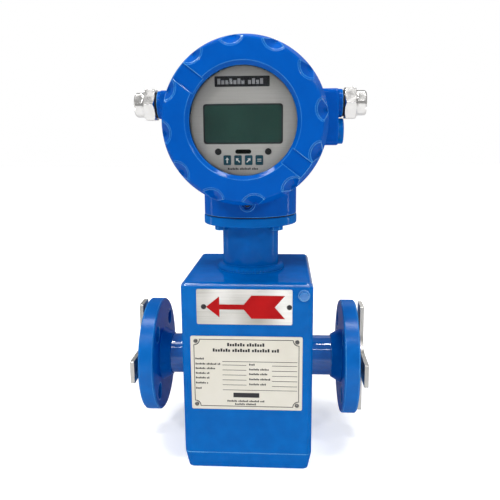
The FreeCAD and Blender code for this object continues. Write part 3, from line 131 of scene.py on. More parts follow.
def noise(tree, scale, detail=3.0, roughness=0.5, stretch=(1.0, 1.0, 1.0)):
    """Noise texture, its scale in waves a metre."""
    texture = tree.nodes.new("ShaderNodeTexNoise")
    texture.inputs["Scale"].default_value = scale
    texture.inputs["Detail"].default_value = detail
    texture.inputs["Roughness"].default_value = roughness
    tree.links.new(place_coordinates(tree, stretch), texture.inputs["Vector"])
    return texture.outputs["Fac"]


def spread(tree, source, low, high, source_low=NOISE_LOW, source_high=NOISE_HIGH):
    """Maps a value to the range from low to high, and no further."""
    node = tree.nodes.new("ShaderNodeMapRange")
    node.inputs["From Min"].default_value = source_low
    node.inputs["From Max"].default_value = source_high
    node.inputs["To Min"].default_value = low
    node.inputs["To Max"].default_value = high
    tree.links.new(source, node.inputs["Value"])
    return node.outputs["Result"]


def blended(tree, first, second, factor):
    """Colour between two, each a plain value or an output."""
    node = tree.nodes.new("ShaderNodeMix")
    node.data_type = "RGBA"
    for name, colour in (("A", first), ("B", second)):
        if isinstance(colour, tuple):
            node.inputs[name].default_value = (*colour, 1.0)
        else:
            tree.links.new(colour, node.inputs[name])
    tree.links.new(factor, node.inputs["Factor"])
    return node.outputs["Result"]


def tint(tree, shader, first, second, source):
    """Base colour between two tones, driven by a texture."""
    colour = blended(tree, first, second, spread(tree, source, 0.0, 1.0))
    tree.links.new(colour, shader.inputs["Base Color"])
    return colour


def uneven_gloss(tree, shader, source, low, high):
    """Roughness between two values, driven by a texture."""
    tree.links.new(spread(tree, source, low, high), shader.inputs["Roughness"])


def rounded_edges(tree, radius):
    """Normal of the surface with its edges rounded."""
    node = tree.nodes.new("ShaderNodeBevel")
    node.samples = BEVEL_SAMPLES
    node.inputs["Radius"].default_value = radius
    return node.outputs["Normal"]


def bump(tree, height, distance, under=None, strength=1.0):
    """Raises a normal by a height texture."""
    node = tree.nodes.new("ShaderNodeBump")
    node.inputs["Strength"].default_value = strength
    node.inputs["Distance"].default_value = distance
    tree.links.new(height, node.inputs["Height"])
    if under:
        tree.links.new(under, node.inputs["Normal"])
    return node.outputs["Normal"]


# Edges of enamelled pieces, with a painted highlight in their colour

# Cosine between the rounded and the true normal: an edge shows in full up to the first, and
# is gone from the second.
EDGE_AGREEMENT = (0.90, 0.985)

# Open share of the surroundings: an edge is hidden up to the first, and shows in full from
# the second. The surroundings end at the edge's reach.
EDGE_OPENING = (0.72, 0.95)
EDGE_OPENING_SAMPLES = 4
EDGE_REACH = 2.5 * MM

# Scale and range of how unevenly the painted highlight shows along an edge, then its colour and its gloss
EDGE_HIGHLIGHT_UNEVENNESS = 34.0
EDGE_HIGHLIGHT_SHARE = (0.35, 1.0)
EDGE_HIGHLIGHT_BLUE = (0.08, 0.50, 0.92)
EDGE_COAT = 1.0

# Z of the normal over which the gloss of a rounded top edge comes in and goes out
TOP_GLOSS_BEGINS = (0.20, 0.35)
TOP_GLOSS_ENDS = (0.85, 0.97)


def outer_edges(tree, rounded):
    """One along the edges that stick out, nothing on faces and in corners."""
    surface = tree.nodes.new("ShaderNodeNewGeometry")
    agreement = tree.nodes.new("ShaderNodeVectorMath")
    agreement.operation = "DOT_PRODUCT"
    tree.links.new(surface.outputs["Normal"], agreement.inputs[0])
    tree.links.new(rounded, agreement.inputs[1])
    turned = spread(tree, agreement.outputs["Value"], 1.0, 0.0, *EDGE_AGREEMENT)
    opening = tree.nodes.new("ShaderNodeAmbientOcclusion")
    opening.samples = EDGE_OPENING_SAMPLES
    opening.only_local = True
    opening.inputs["Distance"].default_value = EDGE_REACH
    open_side = spread(tree, opening.outputs["AO"], 0.0, 1.0, *EDGE_OPENING)
    uneven = spread(tree, noise(tree, EDGE_HIGHLIGHT_UNEVENNESS, detail=1.0), *EDGE_HIGHLIGHT_SHARE)
    return product(tree, turned, open_side, uneven)


def top_rounding(tree):
    """One where the surface turns from upright to level, nothing on upright and level faces."""
    surface = tree.nodes.new("ShaderNodeNewGeometry")
    lean = axis_values(tree, surface.outputs["Normal"])["Z"]
    above = spread(tree, lean, 0.0, 1.0, *TOP_GLOSS_BEGINS)
    below = spread(tree, lean, 1.0, 0.0, *TOP_GLOSS_ENDS)
    return product(tree, above, below)


# Kinds of material. The scale of each texture is in waves a metre.

ENAMEL_ROUGHNESS = 0.26
ENAMEL_SMOOTHEST = 0.18
ENAMEL_DULLEST = 0.32
ENAMEL_GLOSS_PATCHES = 60.0
ENAMEL_WIDE_TONES = 9.0
ENAMEL_SMALL_TONES = 95.0
ENAMEL_GRAIN = 420.0
ENAMEL_PEEL = 120.0
PEEL_TO_GRAIN_HEIGHT = 2.0
FACE_COAT = 0.07
COAT_IOR = 1.9


def enamel(name, colour, deeper, grain_height, edge, ripple=None, coat=FACE_COAT,
           coat_roughness=COAT_ROUGHNESS, glossy_top=False):
    """Thick enamel: orange peel, slow changes of tone; glossier outer edges, lighter by a painted
    highlight.
    """
    material, tree, shader = new_material(
        name, colour, roughness=ENAMEL_ROUGHNESS, coat=coat, coat_roughness=coat_roughness)
    shader.inputs["Specular IOR Level"].default_value = 0.0
    shader.inputs["Coat IOR"].default_value = COAT_IOR
    wide_tones = noise(tree, ENAMEL_WIDE_TONES, detail=2.0)
    small_tones = noise(tree, ENAMEL_SMALL_TONES, detail=2.0)
    paint = tint(tree, shader, colour, deeper, product(tree, total(tree, wide_tones, small_tones), 0.5))
    patches = noise(tree, ENAMEL_GLOSS_PATCHES, detail=2.0)
    uneven_gloss(tree, shader, patches, ENAMEL_SMOOTHEST, ENAMEL_DULLEST)
    normal = rounded_edges(tree, edge)
    edges = outer_edges(tree, normal)
    # Painted highlight: the base colour turns a lighter blue along the outer edges.
    tree.links.new(blended(tree, paint, EDGE_HIGHLIGHT_BLUE, edges), shader.inputs["Base Color"])
    glossy = calculate(tree, "MAXIMUM", edges, top_rounding(tree)) if glossy_top else edges
    tree.links.new(spread(tree, glossy, coat, EDGE_COAT, 0.0, 1.0), shader.inputs["Coat Weight"])
    if ripple:
        normal = bump(tree, ripple(tree), WELD_RIPPLE, under=normal)
    peel = noise(tree, ENAMEL_PEEL, detail=1.0)
    normal = bump(tree, peel, grain_height * PEEL_TO_GRAIN_HEIGHT, under=normal)
    grain = noise(tree, ENAMEL_GRAIN, detail=2.0, roughness=0.4)
    normal = bump(tree, grain, grain_height, under=normal)
    tree.links.new(normal, shader.inputs["Normal"])
    tree.links.new(normal, shader.inputs["Coat Normal"])
    return material


WELD_FOOT = 88.0 * MM
WELD_TOP = 93.5 * MM
WELD_BEADS = 42.0
WELD_RIPPLE = 0.7 * MM


def weld_ripple(tree):
    """Height of the overlapping beads in the weld at the foot of the neck."""
    place = axis_values(tree, place_coordinates(tree))
    angle = calculate(tree, "ARCTAN2", place["Y"], place["X"])
    wave = calculate(tree, "SINE", product(tree, angle, WELD_BEADS))
    weld = spread(tree, place["Z"], 1.0, 0.0, WELD_FOOT, WELD_TOP)
    return product(tree, calculate(tree, "ABSOLUTE", wave), weld)


# How far a material's roughness falls below and rises above its middle value
METAL_GLOSS = 0.06
PLASTIC_GLOSS = 0.05
DULLNESS = 0.08

BRUSH_LINES = 22.0
BRUSH_NARROWING = 60.0
BRUSH_CLOUDS_AND_SHEEN = 26.0
BRUSH_DEPTH = 0.02 * MM
BRUSHED_EDGE = 0.3 * MM
TURNED_BLOTCHES = 160.0
TURNED_GRAIN = 1800.0
TURNED_GRAIN_HEIGHT = 0.01 * MM
TURNED_EDGE = 0.35 * MM
PLASTIC_TONES = 45.0
PLASTIC_GRAIN = 900.0
PLASTIC_GRAIN_HEIGHT = 0.02 * MM
PLASTIC_EDGE = 0.25 * MM
PLASTIC_SPECULAR = 0.3


def brushed(name, colour, darker, along, roughness, clouds_and_sheen):
    """Brushed sheet: fine lines along one axis over slow clouds of tone and painted reflection."""
    material, tree, shader = new_material(name, colour, metallic=1.0, roughness=roughness)
    stretch = [1.0 if axis == along else BRUSH_NARROWING for axis in "xyz"]
    lines = noise(tree, BRUSH_LINES, detail=4.0, roughness=0.7, stretch=stretch)
    # The slow clouds are partly the sheet's own tone and partly a painted reflection.
    slow = noise(tree, BRUSH_CLOUDS_AND_SHEEN, detail=1.0)
    mixed = total(tree, product(tree, lines, 1.0 - clouds_and_sheen), product(tree, slow, clouds_and_sheen))
    tint(tree, shader, colour, darker, mixed)
    uneven_gloss(tree, shader, lines, roughness - METAL_GLOSS, roughness + DULLNESS)
    normal = bump(tree, lines, BRUSH_DEPTH, under=rounded_edges(tree, BRUSHED_EDGE), strength=0.3)
    tree.links.new(normal, shader.inputs["Normal"])
    return material


def turned_metal(name, colour, darker, roughness, edge=TURNED_EDGE, grain_height=TURNED_GRAIN_HEIGHT):
    """Bare metal with faint blotches and a fine grain."""
    material, tree, shader = new_material(name, colour, metallic=1.0, roughness=roughness)
    blotches = noise(tree, TURNED_BLOTCHES, detail=4.0)
    tint(tree, shader, colour, darker, blotches)
    uneven_gloss(tree, shader, blotches, roughness - METAL_GLOSS, roughness + DULLNESS)
    grain = noise(tree, TURNED_GRAIN)
    normal = bump(tree, grain, grain_height, under=rounded_edges(tree, edge), strength=0.5)
    tree.links.new(normal, shader.inputs["Normal"])
    return material


def plastic(name, colour, other, roughness, grain=PLASTIC_GRAIN, coat=0.0, specular=PLASTIC_SPECULAR):
    """Plastic, rubber or flat paint: two near tones and a fine grain."""
    material, tree, shader = new_material(name, colour, roughness=roughness, coat=coat)
    shader.inputs["Specular IOR Level"].default_value = specular
    tint(tree, shader, colour, other, noise(tree, PLASTIC_TONES))
    texture = noise(tree, grain)
    uneven_gloss(tree, shader, texture, roughness - PLASTIC_GLOSS, roughness + DULLNESS)
    edges = rounded_edges(tree, PLASTIC_EDGE)
    normal = bump(tree, texture, PLASTIC_GRAIN_HEIGHT, under=edges, strength=0.6)
    tree.links.new(normal, shader.inputs["Normal"])
    return material


# The pane mirrors and bends light less than real glass, so that the display stays clear.
GLASS_IOR = 1.12
GLASS_TINT = (0.97, 0.99, 1.0)
GLASS_ROUGHNESS = 0.02
GLASS_SMEAR = 35.0
GLASS_SMEARED_ROUGHNESS = 0.05


def clear_glass():
    material, tree, shader = new_material("window_glass", GLASS_TINT, roughness=GLASS_ROUGHNESS)
    shader.inputs["Transmission Weight"].default_value = 1.0
    shader.inputs["IOR"].default_value = GLASS_IOR
    uneven_gloss(tree, shader, noise(tree, GLASS_SMEAR, detail=4.0), 0.0, GLASS_SMEARED_ROUGHNESS)
    return material


COPPER = (0.55, 0.22, 0.08)
COPPER_DARK = (0.30, 0.10, 0.03)
COPPER_LIGHT = (0.62, 0.26, 0.10)
COPPER_ROUGHNESS = 0.32
WIRE_BANDS = 620.0
WIRE_HEIGHT = 0.2 * MM


def winding_copper():
    """Copper with the turns of a winding as bands round it."""
    material, tree, shader = new_material(
        "winding_copper", COPPER, metallic=1.0, roughness=COPPER_ROUGHNESS)
    turns = tree.nodes.new("ShaderNodeTexWave")
    turns.bands_direction = "Z"
    turns.inputs["Scale"].default_value = WIRE_BANDS
    tree.links.new(place_coordinates(tree), turns.inputs["Vector"])
    tint(tree, shader, COPPER_DARK, COPPER_LIGHT, turns.outputs["Fac"])
    tree.links.new(bump(tree, turns.outputs["Fac"], WIRE_HEIGHT), shader.inputs["Normal"])
    return material


# Materials of the record's slots, then those of single nodes

SENSOR_PAINT = {"colour": (0.0, 0.138, 0.50), "deeper": (0.0, 0.100, 0.39)}
CAST_PAINT = {"colour": (0.0, 0.090, 0.44), "deeper": (0.0, 0.074, 0.38)}

MATERIALS = {
    "blue_steel": enamel("blue_enamel", **SENSOR_PAINT, grain_height=0.035 * MM, edge=1.2 * MM),
    "blue_cast": enamel("blue_enamel_on_casting", **CAST_PAINT, grain_height=0.06 * MM, edge=1.0 * MM),
    # The bright sheet's clouds run from near white to dark grey: own uneven tone and a painted
    # reflection.
    "bright_plate": brushed(
        "bright_sheet", colour=(0.90, 0.89, 0.86), darker=(0.36, 0.345, 0.31),
        along="x", roughness=0.32, clouds_and_sheen=0.75),
    "bezel_silver": brushed(
        "bezel_silver", colour=(0.60, 0.575, 0.545), darker=(0.50, 0.475, 0.44),
        along="x", roughness=0.48, clouds_and_sheen=0.6),
    "stainless": turned_metal(
        "stainless", colour=(0.52, 0.52, 0.53), darker=(0.38, 0.38, 0.39), roughness=0.30),
    "nickel": turned_metal(
        "nickel", colour=(0.68, 0.67, 0.655), darker=(0.62, 0.61, 0.595), roughness=0.19,
        edge=0.5 * MM, grain_height=0.001 * MM),
    "soft_iron": turned_metal(
        "soft_iron", colour=(0.22, 0.22, 0.23), darker=(0.14, 0.14, 0.15), roughness=0.5),
    "copper": winding_copper(),
    "window_glass": clear_glass(),
    "ivory_plate": plastic(
        "ivory_sheet", colour=(0.68, 0.65, 0.56), other=(0.72, 0.69, 0.61), roughness=0.42, grain=500.0),
    "arrow_red": plastic(
        "arrow_red", colour=(0.34, 0.003, 0.005), other=(0.47, 0.006, 0.007), roughness=0.34,
        coat=0.08, specular=0.05),
    "liner_white": plastic(
        "liner_white", colour=(0.80, 0.80, 0.78), other=(0.72, 0.72, 0.69), roughness=0.45),
    "black_rubber": plastic(
        "black_rubber", colour=(0.018, 0.018, 0.02), other=(0.03, 0.03, 0.032), roughness=0.55,
        specular=0.15),
    "black_steel": plastic(
        "black_steel", colour=(0.014, 0.014, 0.016), other=(0.03, 0.03, 0.032), roughness=0.35,
        coat=0.2, specular=0.2),
    "lcd_dark": plastic(
        "lcd_dark", colour=(0.024, 0.064, 0.052), other=(0.018, 0.050, 0.040), roughness=0.25,
        coat=0.1, specular=0.1),
    "key_dark": plastic(
        "key_dark", colour=(0.012, 0.060, 0.085), other=(0.02, 0.08, 0.11), roughness=0.4,
        specular=0.15),
    "board_green": plastic(
        "board_green", colour=(0.01, 0.11, 0.04), other=(0.015, 0.15, 0.06), roughness=0.35, coat=0.4),
    "terminal_green": plastic(
        "terminal_green", colour=(0.03, 0.25, 0.09), other=(0.05, 0.30, 0.12), roughness=0.45),
}

# Earth screw and washer: a lighter blue than the enamel round them, a painted highlight for their glints.
SCREW_BLUE_WITH_PAINTED_HIGHLIGHT = enamel(
    "blue_enamel_on_screw", colour=(0.06, 0.27, 0.66), deeper=(0.0, 0.11, 0.40),
    grain_height=0.05 * MM, edge=1.0 * MM, coat=0.6)
FLANGE_BLUE = enamel(
    "blue_enamel_on_flange", **SENSOR_PAINT,
    grain_height=0.05 * MM, edge=1.2 * MM, coat=0.15, coat_roughness=0.25)
EARTHING_SHEET = brushed(
    "earthing_sheet", colour=(0.58, 0.57, 0.54), darker=(0.36, 0.35, 0.33),
    along="z", roughness=0.40, clouds_and_sheen=0.6)

SPECIAL_FINISHES = {
    "sensor_housing": enamel(
        "blue_enamel_on_box", **SENSOR_PAINT, grain_height=0.035 * MM, edge=1.2 * MM, glossy_top=True),
    "measuring_tube": enamel(
        "blue_enamel_on_tube", **SENSOR_PAINT, grain_height=0.05 * MM, edge=0.9 * MM, coat=0.4),
    "neck": enamel(
        "blue_enamel_with_weld", **SENSOR_PAINT, grain_height=0.035 * MM, edge=0.9 * MM,
        ripple=weld_ripple),
    "plate_rivets": turned_metal(
        "dull_rivet", colour=(0.16, 0.155, 0.15), darker=(0.10, 0.10, 0.095), roughness=0.34),
    "display_board": plastic(
        "shaded_board", colour=(0.010, 0.014, 0.010), other=(0.016, 0.024, 0.016), roughness=0.45,
        specular=0.1),
    "flange_left": FLANGE_BLUE,
    "flange_right": FLANGE_BLUE,
    "earthing_plate_left": EARTHING_SHEET,
    "earthing_plate_right": EARTHING_SHEET,
    "earth_screw": SCREW_BLUE_WITH_PAINTED_HIGHLIGHT,
    "earth_washer": SCREW_BLUE_WITH_PAINTED_HIGHLIGHT,
}


def dress_nodes():
    """Gives every node of the frame the material of its slot, or its own."""
    for entry in frame["record"]["subparts"]:
        surface = NODES[entry["node"]]
        surface.data.materials.clear()
        surface.data.materials.append(MATERIALS[entry["material_slot"]])
    for node, material in SPECIAL_FINISHES.items():
        NODES[node].data.materials[0] = material


# Pieces in mesh code

CORNER_STEPS = 8
PRINT_THICKNESS = 0.06 * MM

# Marks of print: their width as a share of the line's height, their pitch and the break
# after each group as shares of their width, and their heights as shares of the line's.
MARK_WIDTH = 0.55
MARK_PITCH = 1.35
MARK_BREAK = 2.2
MARK_GROUP = 7
MARK_HEIGHTS = (1.0, 0.72, 0.72, 1.0, 0.72)


def new_object(name, grid):
    """Turns a bmesh into an object of the scene."""
    mesh = bpy.data.meshes.new(name)
    grid.to_mesh(mesh)
    grid.free()
    made = bpy.data.objects.new(name, mesh)
    bpy.context.scene.collection.objects.link(made)
    return made


def join_rings(grid, first, second):
    """Faces between two closed rings of as many points."""
    count = len(first)
    for index in range(count):
        following = (index + 1) % count
        grid.faces.new([first[index], first[following], second[following], second[index]])


def raised_outline(grid, points, front):
    """Closed outline in X and Z, raised towards the front from a plane at Y = front."""
    back = [grid.verts.new((x, front, z)) for x, z in points]
    face = [grid.verts.new((x, front - PRINT_THICKNESS, z)) for x, z in points]
    grid.faces.new(face)
    grid.faces.new(list(reversed(back)))
    join_rings(grid, back, face)
    bmesh.ops.recalc_face_normals(grid, faces=grid.faces)


def raised_band(grid, outer, inner, front):
    """Closed band between two outlines of as many points."""
    outer_back, outer_face, inner_back, inner_face = (
        [grid.verts.new((x, depth, z)) for x, z in points]
        for points in (outer, inner)
        for depth in (front, front - PRINT_THICKNESS)
    )
    rings = (outer_back, outer_face, inner_face, inner_back)
    for first, second in zip(rings, rings[1:] + rings[:1]):
        join_rings(grid, first, second)
    bmesh.ops.recalc_face_normals(grid, faces=grid.faces)


def bar(x, z, width, height):
    """Corners of a rectangle centred on x and z."""
    left, right = x - width / 2, x + width / 2
    low, high = z - height / 2, z + height / 2
    return [(left, low), (right, low), (right, high), (left, high)]


def corner_outline(left, right, low, high, radius, hollow=False):
    """Rectangle with round corners, or with hollow arcs about its corner points."""
    points = []
    for side_x, side_z, start in ((1, 1, 0), (-1, 1, 90), (-1, -1, 180), (1, -1, 270)):
        middle_x = (right if side_x > 0 else left) - (0 if hollow else side_x * radius)
        middle_z = (high if side_z > 0 else low) - (0 if hollow else side_z * radius)
        for step in range(CORNER_STEPS + 1):
            turn = 90 * step / CORNER_STEPS
            angle = math.radians(start + 270 - turn if hollow else start + turn)
            points.append((middle_x + radius * math.cos(angle), middle_z + radius * math.sin(angle)))
    return points


def border_inside(low, high, inset, width, radius, hollow=False):
    """Outer and inner outline of a border inside the front of a box."""
    return [
        corner_outline(low[0] + edge, high[0] - edge, low[2] + edge, high[2] - edge, radius, hollow)
        for edge in (inset, inset + width)
    ]


def printed(name, outlines, front, body, slot, bands=()):
    """A piece of thin coloured fields on a face at Y = front."""
    grid = bmesh.new()
    for outer, inner in bands:
        raised_band(grid, outer, inner, front)
    for points in outlines:
        raised_outline(grid, points, front)
    piece = new_object(name, grid)
    piece.data.materials.append(MATERIALS[slot])
    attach(piece, body)


def print_marks(left, right, z, height):
    """Small upright marks in groups, like a line of print with nothing to read."""
    marks = []
    width = height * MARK_WIDTH
    start = left
    while start + width <= right:
        tall = height * MARK_HEIGHTS[len(marks) % len(MARK_HEIGHTS)]
        marks.append(bar(start + width / 2, z - height / 2 + tall / 2, width, tall))
        start += width * (MARK_PITCH if len(marks) % MARK_GROUP else MARK_BREAK)
    return marks


# Print on the name plate. Places down it are shares of its height from its top edge,
# and places across it shares of its width from its left edge.

BORDER_INSET = 2.7 * MM
BORDER_WIDTH = 0.55 * MM
BORDER_NOTCH = 5.0 * MM
LINE_WIDTH = 0.42 * MM
SMALL_PRINT = 1.7 * MM
TITLE_PRINT = 3.0 * MM
FOOT_BAR_HEIGHT = 4.3 * MM

# Marks, bar and long lines: place down, then start and end across
TITLES = ((0.110, 0.330, 0.664), (0.186, 0.200, 0.795))
FOOT_LINES = ((0.882, 0.325, 0.665), (0.925, 0.395, 0.600))
FOOT_BAR = (0.800, 0.380, 0.615)
LONG_LINES = ((0.340, 0.285, 0.955), (0.730, 0.285, 0.955))

# Labels: place down and end across, all of a column from the same start
LEFT_LABELS_FROM = 0.042
LEFT_LABELS = (
    (0.305, 0.130), (0.375, 0.270), (0.436, 0.220), (0.502, 0.175),
    (0.566, 0.170), (0.636, 0.155), (0.709, 0.095),
)
RIGHT_LABELS_FROM = 0.525
RIGHT_LABELS = ((0.377, 0.585), (0.443, 0.700), (0.507, 0.690), (0.578, 0.725), (0.647, 0.675))

# Short lines: place of the first one down, step down, then start and end across
SHORT_LINE_COUNT = 5
LEFT_LINES = (0.388, 0.068, 0.285, 0.500)
RIGHT_LINES = (0.392, 0.070, 0.730, 0.955)


def print_name_plate():
    low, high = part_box("name_plate")
    width = high[0] - low[0]
    height = high[2] - low[2]

    def across(share):
        return low[0] + share * width

    def down(share):
        return high[2] - share * height

    def line(place, start, end, thickness):
        return bar(across((start + end) / 2), down(place), (end - start) * width, thickness)

    def marks(place, start, end, size):
        return print_marks(across(start), across(end), down(place), size)

    fields = [line(*FOOT_BAR, FOOT_BAR_HEIGHT)]
    fields += [line(*long_line, LINE_WIDTH) for long_line in LONG_LINES]
    for first, step, start, end in (LEFT_LINES, RIGHT_LINES):
        fields += [line(first + step * row, start, end, LINE_WIDTH) for row in range(SHORT_LINE_COUNT)]
    for title in TITLES:
        fields += marks(*title, TITLE_PRINT)
    for foot_line in FOOT_LINES:
        fields += marks(*foot_line, SMALL_PRINT)
    for labels, start in ((LEFT_LABELS, LEFT_LABELS_FROM), (RIGHT_LABELS, RIGHT_LABELS_FROM)):
        for place, end in labels:
            fields += marks(place, start, end, SMALL_PRINT)
    border = border_inside(low, high, BORDER_INSET, BORDER_WIDTH, BORDER_NOTCH, hollow=True)
    printed("name_plate_print", fields, low[1], "meter", "black_steel", bands=[border])


# Print on the display plate and the keys. The strip is above the plate's middle, the caption below.

STRIP_X = -1.2 * MM
STRIP_RISE = 30.5 * MM
STRIP_WIDTH = 42.8 * MM
STRIP_HEIGHT = 8.0 * MM
STRIP_CORNER = 0.8 * MM
STRIP_MARK_INSET = 2.2 * MM
STRIP_MARK_HEIGHT = 4.2 * MM
CAPTION_WIDTH = 24.0 * MM
CAPTION_DROP = 36.5 * MM
CAPTION_HEIGHT = 1.7 * MM
SCREEN_INSET = 2.6 * MM
SCREEN_BORDER = 1.1 * MM
SCREEN_CORNER = 2.3 * MM

# Turns of the arrows on the keys, in degrees
ARROW_TURNS = {"key_up": 0.0, "key_down": 42.0, "key_shift": -42.0}
ARROW_LENGTH = 4.4 * MM
ARROW_HEAD_WIDTH = 3.0 * MM
ARROW_HEAD_LENGTH = 1.8 * MM
ARROW_STEM = 0.95 * MM
ENTER_KEY = "key_enter"
ENTER_BARS = (0.75 * MM, -0.75 * MM)
ENTER_BAR_LENGTH = 3.2 * MM
ENTER_BAR_HEIGHT = 0.5 * MM


def print_display():
    plate_low, plate_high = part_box("display_plate")
    middle = (plate_low[2] + plate_high[2]) / 2
    strip_z = middle + STRIP_RISE
    strip_left = STRIP_X - STRIP_WIDTH / 2
    strip_right = STRIP_X + STRIP_WIDTH / 2
    strip = corner_outline(
        strip_left, strip_right, strip_z - STRIP_HEIGHT / 2, strip_z + STRIP_HEIGHT / 2, STRIP_CORNER)
    caption = print_marks(
        STRIP_X - CAPTION_WIDTH / 2, STRIP_X + CAPTION_WIDTH / 2, middle - CAPTION_DROP, CAPTION_HEIGHT)
    printed("display_plate_print", [strip, *caption], plate_low[1], "meter", "black_steel")
    marks = print_marks(
        strip_left + STRIP_MARK_INSET, strip_right - STRIP_MARK_INSET, strip_z, STRIP_MARK_HEIGHT)
    printed("display_strip_marks", marks, plate_low[1] - PRINT_THICKNESS, "meter", "stainless")
    module_low, module_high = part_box("display_module")
    border = border_inside(module_low, module_high, SCREEN_INSET, SCREEN_BORDER, SCREEN_CORNER)
    printed("display_border", [], module_low[1], "meter", "black_steel", bands=[border])


def arrow_icon(x, z, turn):
    """Upright arrow turned about its middle."""
    half = ARROW_LENGTH / 2
    neck = half - ARROW_HEAD_LENGTH
    shape = [
        (0.0, half), (-ARROW_HEAD_WIDTH / 2, neck), (-ARROW_STEM / 2, neck), (-ARROW_STEM / 2, -half),
        (ARROW_STEM / 2, -half), (ARROW_STEM / 2, neck), (ARROW_HEAD_WIDTH / 2, neck),
    ]
    cosine = math.cos(math.radians(turn))
    sine = math.sin(math.radians(turn))
    return [(x + right * cosine - up * sine, z + right * sine + up * cosine) for right, up in shape]


def print_keys():
    for key in (*ARROW_TURNS, ENTER_KEY):
        low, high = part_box(key)
        x = (low[0] + high[0]) / 2
        z = (low[2] + high[2]) / 2
        if key == ENTER_KEY:
            icon = [bar(x, z + rise, ENTER_BAR_LENGTH, ENTER_BAR_HEIGHT) for rise in ENTER_BARS]
        else:
            icon = [arrow_icon(x, z, ARROW_TURNS[key])]
        printed(key + "_icon", icon, low[1], key, "liner_white")


# Camera. Its turns are in radians, its focal length in pixels of a frame of 500, and its
# sensor's width in millimetres.

CAMERA_PLACE = Vector((0.032838, -0.528286, 0.205851))
CAMERA_TURN = 0.0634
CAMERA_DOWN = 0.1903
CAMERA_ROLL = -0.0074
FOCAL_PIXELS = 567.47
FRAME_PIXELS = 500
SENSOR_WIDTH = 36.0
CLIP_START = 0.01
CLIP_END = 50.0


def add_camera():
    data = bpy.data.cameras.new("camera")
    data.sensor_width = SENSOR_WIDTH
    data.lens = FOCAL_PIXELS / FRAME_PIXELS * SENSOR_WIDTH
    data.clip_start = CLIP_START
    data.clip_end = CLIP_END
    camera = bpy.data.objects.new("camera", data)
    bpy.context.scene.collection.objects.link(camera)
    ahead = Vector((
        -math.sin(CAMERA_TURN) * math.cos(CAMERA_DOWN),
        math.cos(CAMERA_TURN) * math.cos(CAMERA_DOWN),
        -math.sin(CAMERA_DOWN),
    ))
    level = Vector((math.cos(CAMERA_TURN), math.sin(CAMERA_TURN), 0.0))
    upward = level.cross(ahead)
    right = math.cos(CAMERA_ROLL) * level + math.sin(CAMERA_ROLL) * upward
    top = right.cross(ahead)
    facing = Matrix((right, top, -ahead)).transposed().to_4x4()
    camera.matrix_world = Matrix.Translation(CAMERA_PLACE) @ facing
    bpy.context.scene.camera = camera


# Floor, room and lights

FLOOR_HALF = 6.0
FLOOR_TONE = (0.90, 0.90, 0.90)
FLOOR_TONE_DEEPER = (0.88, 0.88, 0.88)
FLOOR_ROUGHNESS = 0.8
FLOOR_SPECULAR = 0.1
FLOOR_CLOUDS = 3.0

# Distances from the middle between which the floor's own glow grows, its glow there, and
# the share of it that lights the object
FLOOR_NEAR = 0.15
FLOOR_FAR = 0.75
FLOOR_GLOW_NEAR = 0.46
FLOOR_GLOW_FAR = 0.80
FLOOR_BOUNCE = 0.35

# Strength of the room as soft light, in gloss, and seen as the backdrop
ROOM_LIGHT = 0.26
MIRRORED_LIGHT = 0.40
BACKDROP_LIGHT = 1.0

# Soft borders of the room's long lamp, as parts of a direction of length one: its lower and
# upper edge by Z, its rear edge by Y and its right end by X.
LAMP_LOWER_EDGE = (0.930, 0.945)
LAMP_UPPER_EDGE = (0.980, 0.988)
LAMP_REAR_EDGE = (-0.12, -0.06)
LAMP_RIGHT_END = (-0.06, 0.0)
LAMP_LIGHT = 9.0

# Softboxes, all turned to one point: place, width and height in metres, and power in watts
LIGHT_TARGET = (0.0, 0.0, 0.11)
SOFTBOXES = {
    "key_light": ((-0.62, -0.80, 0.80), 0.20, 0.14, 4.0),
    "fill_light": ((0.66, -0.82, 0.66), 0.18, 0.12, 2.8),
    "top_left_light": ((-0.42, -0.10, 1.05), 0.08, 0.30, 3.6),
    "top_right_light": ((0.25, -0.17, 1.05), 0.08, 0.30, 3.6),
    "left_strip": ((-0.95, 0.34, 0.10), 0.08, 0.60, 1.1),
    "right_strip": ((0.95, 0.34, 0.10), 0.08, 0.60, 1.3),
    "front_top_strip": ((0.0, -0.75, 0.95), 0.90, 0.05, 2.6),
    "back_light": ((0.1, 1.2, 0.7), 0.8, 0.6, 1.8),
}


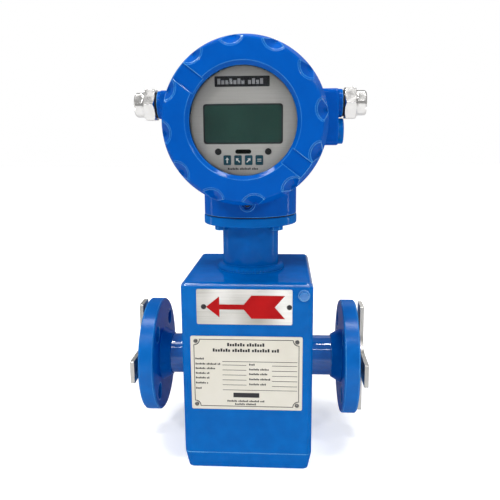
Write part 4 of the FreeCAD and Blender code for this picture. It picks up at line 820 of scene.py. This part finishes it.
def add_floor():
    """Pale floor that brightens with distance, so that it has no horizon."""
    grid = bmesh.new()
    bmesh.ops.create_grid(grid, x_segments=1, y_segments=1, size=FLOOR_HALF)
    floor = new_object("floor", grid)
    floor.location.z = cad_box[0].z
    material, tree, shader = new_material("pale_floor", FLOOR_TONE, roughness=FLOOR_ROUGHNESS)
    shader.inputs["Specular IOR Level"].default_value = FLOOR_SPECULAR
    tint(tree, shader, FLOOR_TONE, FLOOR_TONE_DEEPER, noise(tree, FLOOR_CLOUDS))
    distance = tree.nodes.new("ShaderNodeVectorMath")
    distance.operation = "LENGTH"
    tree.links.new(place_coordinates(tree), distance.inputs[0])
    glow = spread(tree, distance.outputs["Value"], FLOOR_GLOW_NEAR, FLOOR_GLOW_FAR, FLOOR_NEAR, FLOOR_FAR)
    path = tree.nodes.new("ShaderNodeLightPath")
    share = spread(tree, path.outputs["Is Camera Ray"], FLOOR_BOUNCE, 1.0, 0.0, 1.0)
    tree.links.new(product(tree, glow, share), shader.inputs["Emission Strength"])
    shader.inputs["Emission Color"].default_value = WHITE
    floor.data.materials.append(material)


def lamp_band(tree):
    """One towards a long lamp above the front left, which only gloss shows."""
    source = tree.nodes.new("ShaderNodeTexCoord")
    place = axis_values(tree, source.outputs["Generated"])
    over = spread(tree, place["Z"], 0.0, 1.0, *LAMP_LOWER_EDGE)
    under = spread(tree, place["Z"], 1.0, 0.0, *LAMP_UPPER_EDGE)
    ahead = spread(tree, place["Y"], 1.0, 0.0, *LAMP_REAR_EDGE)
    left = spread(tree, place["X"], 1.0, 0.0, *LAMP_RIGHT_END)
    return product(tree, over, under, ahead, left)


def add_room():
    """White behind the object, and a soft grey room with a lamp for its light."""
    world = bpy.data.worlds.new("studio")
    world.use_nodes = True
    tree = world.node_tree
    room = tree.nodes["Background"]
    room.inputs["Color"].default_value = WHITE
    path = tree.nodes.new("ShaderNodeLightPath")
    seen = product(tree, path.outputs["Is Camera Ray"], BACKDROP_LIGHT - ROOM_LIGHT)
    mirrored = product(tree, path.outputs["Is Glossy Ray"], MIRRORED_LIGHT - ROOM_LIGHT)
    lamp = product(tree, lamp_band(tree), path.outputs["Is Glossy Ray"], LAMP_LIGHT)
    tree.links.new(total(tree, seen, mirrored, ROOM_LIGHT, lamp), room.inputs["Strength"])
    bpy.context.scene.world = world


def add_softbox(name, place, width, height, power):
    data = bpy.data.lights.new(name, "AREA")
    data.shape = "RECTANGLE"
    data.size = width
    data.size_y = height
    data.energy = power
    light = bpy.data.objects.new(name, data)
    bpy.context.scene.collection.objects.link(light)
    light.location = place
    light.rotation_mode = "QUATERNION"
    light.rotation_quaternion = (Vector(LIGHT_TARGET) - Vector(place)).to_track_quat("-Z", "Y")


def add_studio():
    add_floor()
    add_room()
    for name, (place, width, height, power) in SOFTBOXES.items():
        add_softbox(name, place, width, height, power)
    bpy.context.scene.view_settings.view_transform = "Standard"


add_camera()
add_studio()
dress_nodes()
print_name_plate()
print_display()
print_keys()
